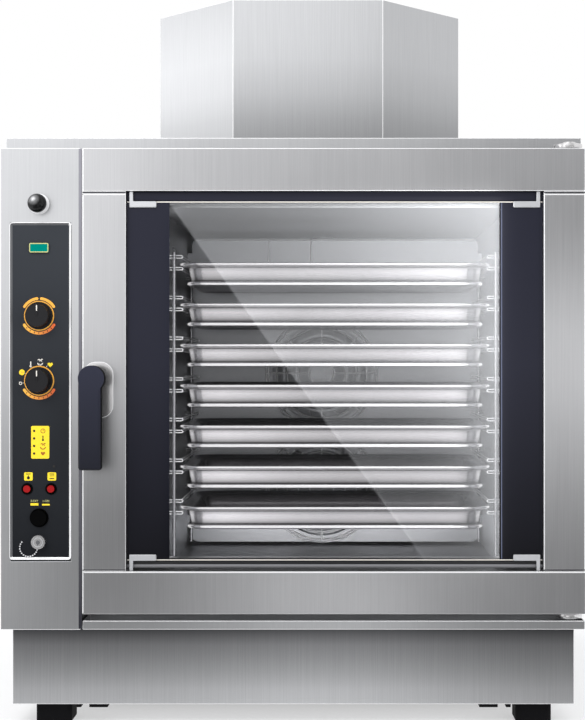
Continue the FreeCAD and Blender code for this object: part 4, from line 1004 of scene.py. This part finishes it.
def tray_profile():
    """Pairs of inset and drop in millimetres: the rim, wall, bead and floor outside, then the inside."""
    turns = [math.radians(angle) for angle in range(90, -76, -15)]
    rim = [(RIM_RADIUS - RIM_RADIUS * math.cos(t), RIM_RADIUS - RIM_RADIUS * math.sin(t)) for t in turns]
    wall = [(4.4, 5.4), (4.2, 6.4), (5.2, 7.4), (9.6, 7.7),
            (13.2, 8.2), (14.0, 9.6), (16.4, 22.0), (18.2, 30.4)]
    turns = [math.radians(angle) for angle in range(0, 181, 18)]
    bead = [(BEAD_INSET - BEAD_BULGE * math.sin(t), BEAD_DROP - BEAD_HALF * math.cos(t)) for t in turns]
    floor = [(20.0, 39.6), (24.0, 38.2), (26.0, 37.6)]
    inside = [(26.0, 37.0), (22.0, 36.6), (20.0, 33.0), (18.2, 22.0),
              (16.0, 10.0), (13.0, 6.6), (7.0, 5.0), (4.6, 2.2)]
    return rim, wall, bead, floor, inside


def pressed_tray(node):
    """A tray with its rim and bead in one finish, its wall in another and the rest in a third."""
    low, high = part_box(node)
    x = (low.x / MM - RIM_OVERHANG, high.x / MM + RIM_OVERHANG)
    y = (low.y / MM, high.y / MM)
    rim, wall, bead, floor, inside = tray_profile()
    outside = rim + wall + bead + floor
    form = bmesh.new()
    rows = []
    for inset, drop in outside + inside:
        outline = round_box(x, y, max(RIM_CORNER - inset * 0.6, LEAST_CORNER), 9, grow=-inset)
        rows.append([form.verts.new((px * MM, py * MM, high.z - drop * MM)) for px, py in outline])
    under = len(outside) - 1
    first_bead = len(rim + wall)
    rolled = [*range(len(rim)), *range(first_bead, first_bead + len(bead))]
    for order in range(len(rows)):
        if order == under:
            continue
        for face in bridge(form, rows[order], rows[(order + 1) % len(rows)]):
            face.material_index = 1 if order in rolled else 2 if order < first_bead else 0
    form.faces.new(rows[under])
    form.faces.new(rows[under + 1])
    finish_of_face = [face.material_index for face in form.faces]
    mesh = made_mesh(f"{node}_pressed", form)
    mesh.shade_smooth()
    mesh.set_sharp_from_angle(angle=math.radians(60))
    piece = add_piece(f"{node}_pressed", mesh, "tray_steel", nodes[node]["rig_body"])
    mesh.materials.append(finishes["rim_steel"])
    mesh.materials.append(finishes["wall_steel"])
    mesh.polygons.foreach_set("material_index", finish_of_face)
    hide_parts(node)
    return piece


trays = [pressed_tray(f"tray_{order}") for order in range(1, 8)]
print("trays:", len(trays), "with", len(trays[0].data.polygons), "faces each")

# %% [markdown]
# ## Wires, beads and screws from node trees
# Racks, fan guards, the bead chain and the screws repeat one small shape many times. A
# Geometry Nodes tree grows them from a path or from one piece, with its sizes as named inputs.
# It ends by realizing the copies, because only a plain mesh can leave the script.

# %% Plant the node trees
def new_tree(name, inputs):
    """A geometry tree with named inputs, and the wires of those inputs."""
    tree = bpy.data.node_groups.new(name, "GeometryNodeTree")
    for label, kind in {"Geometry": "Geometry", **inputs, "Finish": "Material"}.items():
        tree.interface.new_socket(label, in_out="INPUT", socket_type=f"NodeSocket{kind}")
    tree.interface.new_socket("Geometry", in_out="OUTPUT", socket_type="NodeSocketGeometry")
    start = tree.nodes.new("NodeGroupInput")
    return {socket.name: Wire(tree, socket) for socket in start.outputs if socket.name}


def close_tree(shape, finish):
    """Realizes the copies, sets their finish and hands the shape over."""
    real = shape.node("GeometryNodeRealizeInstances", {}, {"Geometry": shape})
    smooth = real.node("GeometryNodeSetShadeSmooth", {}, {"Geometry": real})
    painted = smooth.node("GeometryNodeSetMaterial", {}, {"Geometry": smooth, "Material": finish})
    end = shape.tree.nodes.new("NodeGroupOutput")
    feed(end.inputs["Geometry"], painted)
    return shape.tree


def round_wire(paths, radius):
    """Wire of a round section along curves."""
    section = paths.node("GeometryNodeCurvePrimitiveCircle", {}, {"Resolution": 10, "Radius": radius})
    inputs = {"Curve": paths, "Profile Curve": section, "Fill Caps": True}
    return paths.node("GeometryNodeCurveToMesh", {}, inputs)


def copies(shape, rows, step):
    """A row of copies of one shape."""
    places = shape.node("GeometryNodeMeshLine", {}, {"Count": rows, "Offset": step})
    return shape.node("GeometryNodeInstanceOnPoints", {}, {"Points": places, "Instance": shape})


given = new_tree("wire_row", {"Wire Radius": "Float", "Rows": "Int", "Step": "Vector"})
paths = given["Geometry"].node("GeometryNodeMeshToCurve", {}, {"Mesh": given["Geometry"]})
wires = round_wire(paths, given["Wire Radius"])
WIRE_ROW = close_tree(copies(wires, given["Rows"], given["Step"]), given["Finish"])

given = new_tree("piece_row", {"Rows": "Int", "Step": "Vector"})
PIECE_ROW = close_tree(copies(given["Geometry"], given["Rows"], given["Step"]), given["Finish"])

given = new_tree("bead_chain", {"Bead Radius": "Float", "Link Radius": "Float", "Beads": "Int"})
path = given["Geometry"].node("GeometryNodeMeshToCurve", {}, {"Mesh": given["Geometry"]})
spots = path.node("GeometryNodeResampleCurve", {}, {"Curve": path, "Count": given["Beads"]})
bead = path.node("GeometryNodeMeshIcoSphere", {}, {"Radius": given["Bead Radius"], "Subdivisions": 3})
beads = path.node("GeometryNodeInstanceOnPoints", {}, {"Points": spots, "Instance": bead})
chain = path.node("GeometryNodeJoinGeometry", {}, {"Geometry": beads})
feed(chain.socket.node.inputs["Geometry"], round_wire(path, given["Link Radius"]))
BEAD_CHAIN = close_tree(chain, given["Finish"])
print("node trees:", [tree.name for tree in bpy.data.node_groups])

# %% [markdown]
# A tree runs as a modifier on a path. Its inputs are set by the identifiers of their sockets
# before the first evaluation, and the result is copied out as a plain mesh.

# %% Grow pieces from paths
def path_mesh(name, lines):
    """Edges along each line of points in millimetres. A line that ends where it starts is closed."""
    mesh = bpy.data.meshes.new(name)
    points, edges = [], []
    for line in lines:
        closed = line[0] == line[-1]
        first = len(points)
        points += [Vector(p) * MM for p in (line[:-1] if closed else line)]
        edges += [(i, i + 1) for i in range(first, len(points) - 1)]
        if closed:
            edges.append((len(points) - 1, first))
    mesh.from_pydata(points, edges, [])
    return mesh


def grown(name, mesh, tree, sizes, finish):
    """Runs a tree on a mesh and keeps the result as a piece of the cabinet."""
    seed = linked(f"{name}_seed", mesh)
    modifier = seed.modifiers.new("tree", "NODES")
    modifier.node_group = tree
    sockets = {item.name: item.identifier for item in tree.interface.items_tree if item.in_out == "INPUT"}
    for label, value in {**sizes, "Finish": finishes[finish]}.items():
        modifier[sockets[label]] = value
    ready = seed.evaluated_get(bpy.context.evaluated_depsgraph_get())
    shape = bpy.data.meshes.new_from_object(ready)
    seed.modifiers.remove(modifier)
    bpy.data.objects.remove(seed)
    print(name, len(shape.polygons), "faces")
    return add_piece(name, shape, finish, "cabinet")


def wire_piece(name, lines, radius, finish, rows=1, step=0.0):
    """Wire along lines, repeated in rows that step downwards."""
    sizes = {"Wire Radius": radius * MM, "Rows": rows, "Step": (0.0, 0.0, -step * MM)}
    return grown(name, path_mesh(name, lines), WIRE_ROW, sizes, finish)


print("a wire row takes", [item.name for item in WIRE_ROW.interface.items_tree if item.in_out == "INPUT"])

# %% [markdown]
# A rack carries each tray on a pair of runners, and every runner is a double wire bent to a
# hairpin at the posts. One pair is drawn, and the tree steps it down by the trays' pitch.

# %% Bend the racks
RACK_X, RACK_FRONT, RACK_BACK = CAVITY_X / MM, -223.0, 90.0
RACK_FOOT, RACK_HEAD = 237.5, 772.0
RUNNER_REACH, POST_REACH, WALL_REACH = 264.0, 277.0, 287.6
RUNNER_RISES = (9.5, -10.9)
RUNNER_RADIUS, POST_RADIUS, HALF_PAIR = 0.9, 3.0, 2.1


def hairpin(side, y, z):
    """A double wire from the wall to the runner, closed by a half round."""
    tip = [(side * x, z + rise) for x, rise in arc((RUNNER_REACH, 0), HALF_PAIR, 90, 270, 8)]
    outline = [(side * WALL_REACH, z + HALF_PAIR), *tip, (side * WALL_REACH, z - HALF_PAIR)]
    return [(RACK_X + x, y, level) for x, level in outline]


def runner_lines(side):
    lines = []
    x = RACK_X + side * RUNNER_REACH
    for z in [TRAY_TOP / MM + rise for rise in RUNNER_RISES]:
        lines += [hairpin(side, y, z) for y in (RACK_FRONT, RACK_BACK)]
        lines += [[(x, RACK_FRONT, z + rise), (x, RACK_BACK, z + rise)] for rise in (-HALF_PAIR, HALF_PAIR)]
    return lines


for side, rack in ((-1, "rack_left"), (1, "rack_right")):
    runners = wire_piece(f"{rack}_runners", runner_lines(side), RUNNER_RADIUS, "wire_steel",
                         rows=len(trays), step=TRAY_STEP / MM)
    x = RACK_X + side * POST_REACH
    uprights = [[(x, y, RACK_FOOT), (x, y, RACK_HEAD)] for y in (RACK_FRONT, RACK_BACK)]
    posts = wire_piece(f"{rack}_posts", uprights, POST_RADIUS, "post_steel")
    for piece in (runners, posts):
        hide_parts(rack)

# %% [markdown]
# In front of each fan wheel sits a guard of wire rings and spokes, and the baffle ends in a
# rolled hem with two ribs. One guard is drawn round the upper wheel and stepped down to the
# lower one.

# %% Bend the guards and the hem
GUARD_RADII = (24, 46, 68, 88, 104, 109)
HEM_LEFT, HEM_RIGHT, RIBS, RIB_LENGTH = -206.0, 340.0, (-63.0, 20.0), 60

fan_at = middle_of("fan_upper")
fan_step = fan_at[1] - middle_of("fan_lower")[1]
baffle_low, baffle_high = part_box("fan_baffle")
guard_y = baffle_low.y / MM - 2.0
guard = []
for radius in GUARD_RADII:
    circle = [(x, guard_y, z) for x, z in arc(fan_at, radius, 0, 360, 64)]
    guard.append(circle[:-1] + circle[:1])
for turn in range(0, 360, 45):
    ends = [arc(fan_at, radius, turn, turn, 1)[0] for radius in (GUARD_RADII[0], GUARD_RADII[-1])]
    guard.append([(x, guard_y + 1.0, z) for x, z in ends])
wire_piece("fan_guards", guard, 1.3, "wire_steel", rows=2, step=fan_step)

hem_y, hem_z = guard_y + 1.2, baffle_high.z / MM - 1.4
hem = [[(HEM_LEFT, hem_y, hem_z), (HEM_RIGHT, hem_y, hem_z)]]
hem += [[(x, hem_y, hem_z), (x, hem_y, hem_z - RIB_LENGTH)] for x in RIBS]
wire_piece("baffle_hem", hem, 1.5, "wire_steel")

# %% [markdown]
# The rear panel is held by two columns of screws, and the probe cap hangs on a bead chain. A
# screw head is turned once and copied down the panel. The chain's beads are threaded on an arc,
# because it hangs in a loose loop.

# %% Fasten the panel and hang the chain
SCREWS, SCREW_ASIDE, SCREW_DOWN = 5, 14, 18
SCREW_BORE, SCREW_RADIUS = 1.4, 4.2
CHAIN_CENTRE, CHAIN_RADIUS, CHAIN_Y, BEADS = (-420.3, 288.5), 14, -418.9, 14

panel_low, panel_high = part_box("rear_panel")
rear_y = panel_high.y / MM
screw = [
    (SCREW_BORE, rear_y - 0.3), (SCREW_RADIUS, rear_y - 0.3), (SCREW_RADIUS, rear_y + 0.6),
    (SCREW_RADIUS - 0.8, rear_y + 1.7), (SCREW_BORE, rear_y + 1.7),
]
screw_step = (panel_high.z - panel_low.z - 2 * SCREW_DOWN * MM) / (SCREWS - 1)
for side, x in (("left", panel_low.x / MM + SCREW_ASIDE), ("right", panel_high.x / MM - SCREW_ASIDE)):
    head = turned_mesh("screw", (x, panel_high.z / MM - SCREW_DOWN), screw, 20)
    sizes = {"Rows": SCREWS, "Step": (0.0, 0.0, -screw_step)}
    grown(f"{side}_rear_screws", head, PIECE_ROW, sizes, "bright_steel")

loop = [(x, CHAIN_Y, z) for x, z in arc(CHAIN_CENTRE, CHAIN_RADIUS, 140, 346, 40)]
sizes = {"Bead Radius": 1.25 * MM, "Link Radius": 0.15 * MM, "Beads": BEADS}
thread = path_mesh("bead_chain", [loop])
chain_piece = grown("bead_chain", thread, BEAD_CHAIN, sizes, "wire_steel")
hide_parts("probe_chain")

# %% [markdown]
# ## Seals and edges of the window
# Above and below the outer glass a rubber lip closes the gap to the rails. Under the lower lip a
# pale strip is a painted reflection of the rail's metal lip. Thin white lines at the top and foot
# of the glass are a painted highlight of its ground edges, and a thin blue line beside the right
# band is a painted reflection. A seal is one section pulled along the rail, and the lines are
# thin plates like the prints.

# %% Fit the seals
SEAL_ENDS = (-265.0, 398.4)
SEAL_BACK, SEAL_SHOULDER, SEAL_LIP, SEAL_CROWN = -400, -408.4, -409.4, -409.8
UPPER_SEAL, LOWER_SEAL, SEAL_FOOT = (840.6, 855.6), (261.0, 266.6), (255.4, 260.9)
EDGE_X, EDGES_Z = (-264.6, 398.0), ((838.2, 839.8), (267.4, 268.8))
LINE_X, LINE_Z = (332.4, 333.4), (270.0, 838.0)


def lip_strip(name, z, finish):
    """A rubber strip with a rounded lip along the rail."""
    low, high = z
    profile = [
        (SEAL_BACK, low), (SEAL_SHOULDER, low), (SEAL_LIP, low + 1.4), (SEAL_CROWN, sum(z) / 2),
        (SEAL_LIP, high - 1.4), (SEAL_SHOULDER, high), (SEAL_BACK, high),
    ]
    form = bmesh.new()
    ends = [[form.verts.new((x * MM, y * MM, level * MM)) for y, level in profile] for x in SEAL_ENDS]
    bridge(form, *ends)
    for end in ends:
        form.faces.new(end)
    return add_piece(name, made_mesh(name, form), finish, "door")


lip_strip("upper_glass_seal", UPPER_SEAL, "print_band")
lip_strip("lower_glass_seal", LOWER_SEAL, "seal_rubber")
# The pale foot is a painted reflection of the rail's metal lip.
lip_strip("lower_seal_foot", SEAL_FOOT, "lip_reflection_grey")
# White lines: a painted highlight of the glass's ground edges.
edges = [round_box(EDGE_X, z, 0.4) for z in EDGES_Z]
plate("glass_edges", edges, glass_y + 0.3, 0.6, "print_white", "door")
# A painted reflection along the inner edge of the right band.
side_line = [round_box(LINE_X, LINE_Z, 0.3)]
plate("glass_side_line", side_line, glass_y + 0.3, 0.7, "print_line", "door")
print("window stands at", round(glass_y, 1), "mm")

# %% [markdown]
# ## Light
# Three wide soft lamps light the oven from above, and small ones inside the cavity stand for
# the studio light that falls in through the glass. The world shows white to the camera, in
# reflections and through the glass, and a plain grey level to everything else.

# %% Set the world and the lamps
def area_lamp(name, place, target, size, power):
    """A square soft lamp that faces its target."""
    light = bpy.data.lights.new(name, "AREA")
    light.size = size
    light.energy = power
    lamp = linked(name, light)
    lamp.location = place
    lamp.rotation_euler = (Vector(target) - Vector(place)).to_track_quat("-Z", "Y").to_euler()
    lamp.visible_glossy = False
    return lamp


def inner_lamp(name, place, target, width, height, power):
    """An oblong lamp inside the cavity, which the camera does not see but steel mirrors."""
    lamp = area_lamp(name, place, target, width, power)
    lamp.data.shape = "RECTANGLE"
    lamp.data.size_y = height
    lamp.visible_camera = False
    lamp.visible_glossy = True


world = bpy.data.worlds.new("studio")
world.use_nodes = True
scene.world = world
path = Wire(world.node_tree).node("ShaderNodeLightPath", output="Is Camera Ray")
rays = path.socket.node.outputs
glossy, through = [Wire(path.tree, rays[f"Is {kind} Ray"]) for kind in ("Glossy", "Transmission")]
shown = path + glossy + through
seen = shown.node("ShaderNodeClamp", {}, {"Value": shown})
sky = world.node_tree.nodes["Background"]
feed(sky.inputs["Color"], seen.mix((0.55, 0.56, 0.58, 1), (1, 1, 1, 1)))

middle = (0, 0, 0.6)
area_lamp("key", (-1.5, -2.4, 2.5), middle, 1.8, 60)
area_lamp("fill", (1.9, -2.2, 1.7), middle, 1.8, 26)
area_lamp("overhead", (0, 0.4, 3.0), middle, 2.0, 40)
rack_middle = (CAVITY_X, -0.18, 0.53)
inner_lamp("door_lamp", (0.05, -0.345, 0.505), (0.05, 0.2, 0.505), 0.53, 0.56, 1.85)
inner_lamp("left_wall_lamp", (-0.2195, -0.18, 0.53), rack_middle, 0.05, 0.56, 0.12)
inner_lamp("front_sill_lamp", (CAVITY_X, -0.3, 0.235), (CAVITY_X, -0.1, 0.4), 0.5, 0.05, 0.1)
inner_lamp("sill_lamp", (CAVITY_X, -0.19, 0.25), (CAVITY_X, 0.14, 0.26), 0.5, 0.04, 0.28)
inner_lamp("right_wall_lamp", (0.3535, -0.18, 0.53), rack_middle, 0.05, 0.56, 0.12)

# %% [markdown]
# The oven stands on a pale floor. Around it hang cards that only reflections can see. A card's
# light is drawn with wires for its own X, Y and Z, so its tones lie at real places. Lamps would
# light the whole oven, and a card only shows where steel or glass mirrors it.

# %% Lay the floor
FLOOR_REACH = 40


def flat_sheet(name, corners):
    """A sheet with four corners that belongs to the stage."""
    mesh = bpy.data.meshes.new(name)
    mesh.from_pydata([Vector(c) for c in corners], [], [(0, 1, 2, 3)])
    sheet = linked(name, mesh)
    return sheet


def lying(x, y, z):
    """The corners of a level sheet."""
    return [(x[0], y[0], z), (x[1], y[0], z), (x[1], y[1], z), (x[0], y[1], z)]


def standing(x, y, z):
    """The corners of an upright sheet that faces the front."""
    return [(x[0], y, z[0]), (x[1], y, z[0]), (x[1], y, z[1]), (x[0], y, z[1])]


def light_card(name, corners):
    """A sheet that only reflections see, and the wires of its X, Y and Z."""
    sheet = flat_sheet(name, corners)
    for ray in ("camera", "diffuse", "transmission", "volume_scatter", "shadow"):
        setattr(sheet, f"visible_{ray}", False)
    place = start_finish(f"{name}_light")[1]
    sheet.data.materials.append(finishes[f"{name}_light"])
    return [place.part(axis) for axis in "XYZ"]


def glow(level):
    """Lets a card shine at a level."""
    light = level.node("ShaderNodeEmission", {}, {"Color": level, "Strength": 1.0})
    feed(level.tree.nodes["Material Output"].inputs["Surface"], light)


white = (1, 1, 1, 1)
shader, place = start_finish("floor_pale", Roughness=0.9, Emission_Color=white, Emission_Strength=0.5)
feed(shader.inputs["Base Color"], noise(place, (3, 3, 3), 3).mix(srgb(186, 186, 187), srgb(190, 190, 190)))
span = (-FLOOR_REACH, FLOOR_REACH)
floor = flat_sheet("floor", lying(span, span, 0))
floor.data.materials.append(finishes["floor_pale"])
print("floor spans", [round(v) for v in floor.dimensions], "m")

# %% [markdown]
# The front card is white at its upper left and greyer elsewhere. Its three columns of tone give
# the flat steel its slow change from the column to the right stile. A dark dip shades the lower
# left, and a low glow the foot of the middle.

# %% Hang the front card
CARD_X, CARD_Y, CARD_Z = (-1.1, 1.1), -1.25, (0.001, 2.2)
across, back, up = light_card("card", standing(CARD_X, CARD_Y, CARD_Z))
rise = up * 0.6
left_tone = rise.ramp((0.0, 0.6), (0.03, 0.58), (0.12, 0.42), (0.28, 0.62), (0.4, 0.82), (0.6, 1.0))
dip_place = (across + 0.6).ramp((0.0, 0.0), (0.05, 1.0), (0.3, 1.0), (0.46, 0.0))
dip = dip_place * rise.ramp((0.0, 0.5), (0.05, 0.8), (0.1, 1.0), (0.17, 1.0), (0.25, 0.5), (0.34, 0.0))
middle_tone = rise.ramp(
    (0.0, 0.39), (0.12, 0.39), (0.3, 0.36), (0.6, 0.44), (0.7, 0.8), (0.86, 0.9), (0.95, 1.0))
right_tone = rise.ramp(
    (0.0, 0.32), (0.1, 0.12), (0.2, 0.36), (0.36, 0.92), (0.46, 0.5), (0.54, 0.08), (0.62, 0.44))
to_middle = (across + 0.5 + rise.ramp((0.3, 0.0), (0.6, 0.16))).ramp((0.14, 0.0), (0.48, 1.0))
to_right = across.ramp((0.1, 0.0), (0.5, 1.0))
low_place = (across + 0.5).ramp((0.35, 0.0), (0.5, 1.0), (0.66, 1.0), (0.84, 0.0))
low_glow = low_place * rise.ramp((0.0, 1.0), (0.12, 0.0))
tone = to_right.mix(to_middle.mix(left_tone * (1 - dip * 0.95), middle_tone), right_tone)
glow(tone * 1.6 + low_glow * 1.15)
print("front card at y", CARD_Y)

# %% [markdown]
# A small card close to the glass carries the slanting streak, so that the steel beside the
# window does not pick it up. The mirror image of a point of the glass lies a little further from
# the axis of the lens, which `spread` allows for.

# %% Hang the card of the glass
GLASS_CARD_Y = -0.455
STREAK_TOP = Vector((-0.198, 0.839))
STREAK_FOOT = Vector((0.211, 0.268))
WINDOW_RIGHT = 0.333
spread = 1 + (glass_low.y - GLASS_CARD_Y) / (glass_low.y - camera.location.y)
eye = Vector((camera.location.x, camera.location.z))
top, foot = [eye + (point - eye) * spread for point in (STREAK_TOP, STREAK_FOOT)]
end = eye.x + (WINDOW_RIGHT - eye.x) * spread
across, back, up = light_card("glass_card", standing((top.x, end), GLASS_CARD_Y, (foot.y, top.y)))
steep = (top.y - foot.y) / (foot.x - top.x)
past = (up - top.y) + (across - top.x) * steep
toward = past / (up - top.y + (end - top.x) * steep)
height = (up - foot.y) / (top.y - foot.y)
streak = (past + 0.5).ramp((0.498, 0.0), (0.502, 1.0))
edge_line = (past + 0.5).ramp((0.495, 0.0), (0.5, 0.5), (0.505, 0.0))
climb = toward.math("POWER", toward, 4.2 - height * 2.2)
glow(streak * (climb * (height * 2.5 + 1.6) + height * 0.75 + 0.4) + edge_line + 0.06)
print("streak from", [round(v, 3) for v in top], "to", [round(v, 3) for v in foot])

# %% [markdown]
# A third card lies on the floor for the plinth, and a fourth lights the left side of the flue.

# %% Lay the low card and the side card
LOW_END, LOW_Z = -0.45, 0.002
across, back, up = light_card("low_card", lying(CARD_X, (CARD_Y, LOW_END), LOW_Z))
side_tone = (across + 0.5).ramp((0.0, 0.82), (0.3, 0.92), (0.5, 1.08), (0.62, 1.0), (0.95, 0.58))
glow((back - CARD_Y).ramp((0.0, 0.42), (0.2, 0.33), (0.45, 0.5), (0.75, 1.2)) * side_tone)
SIDE_X, SIDE_FRONT, SIDE_BACK, SIDE_FOOT, SIDE_HEAD = -1.6, -0.6, 0.9, 0.95, 1.7
corners = [(SIDE_X, SIDE_FRONT, SIDE_FOOT), (SIDE_X, SIDE_BACK, SIDE_FOOT),
           (SIDE_X, SIDE_BACK, SIDE_HEAD), (SIDE_X, SIDE_FRONT, SIDE_HEAD)]
across, back, up = light_card("side_card", corners)
glow((up - SIDE_FOOT).ramp((0.2, 1.0), (0.34, 0.94), (0.42, 0.7), (0.5, 0.62), (0.65, 0.67)) * 2.6)
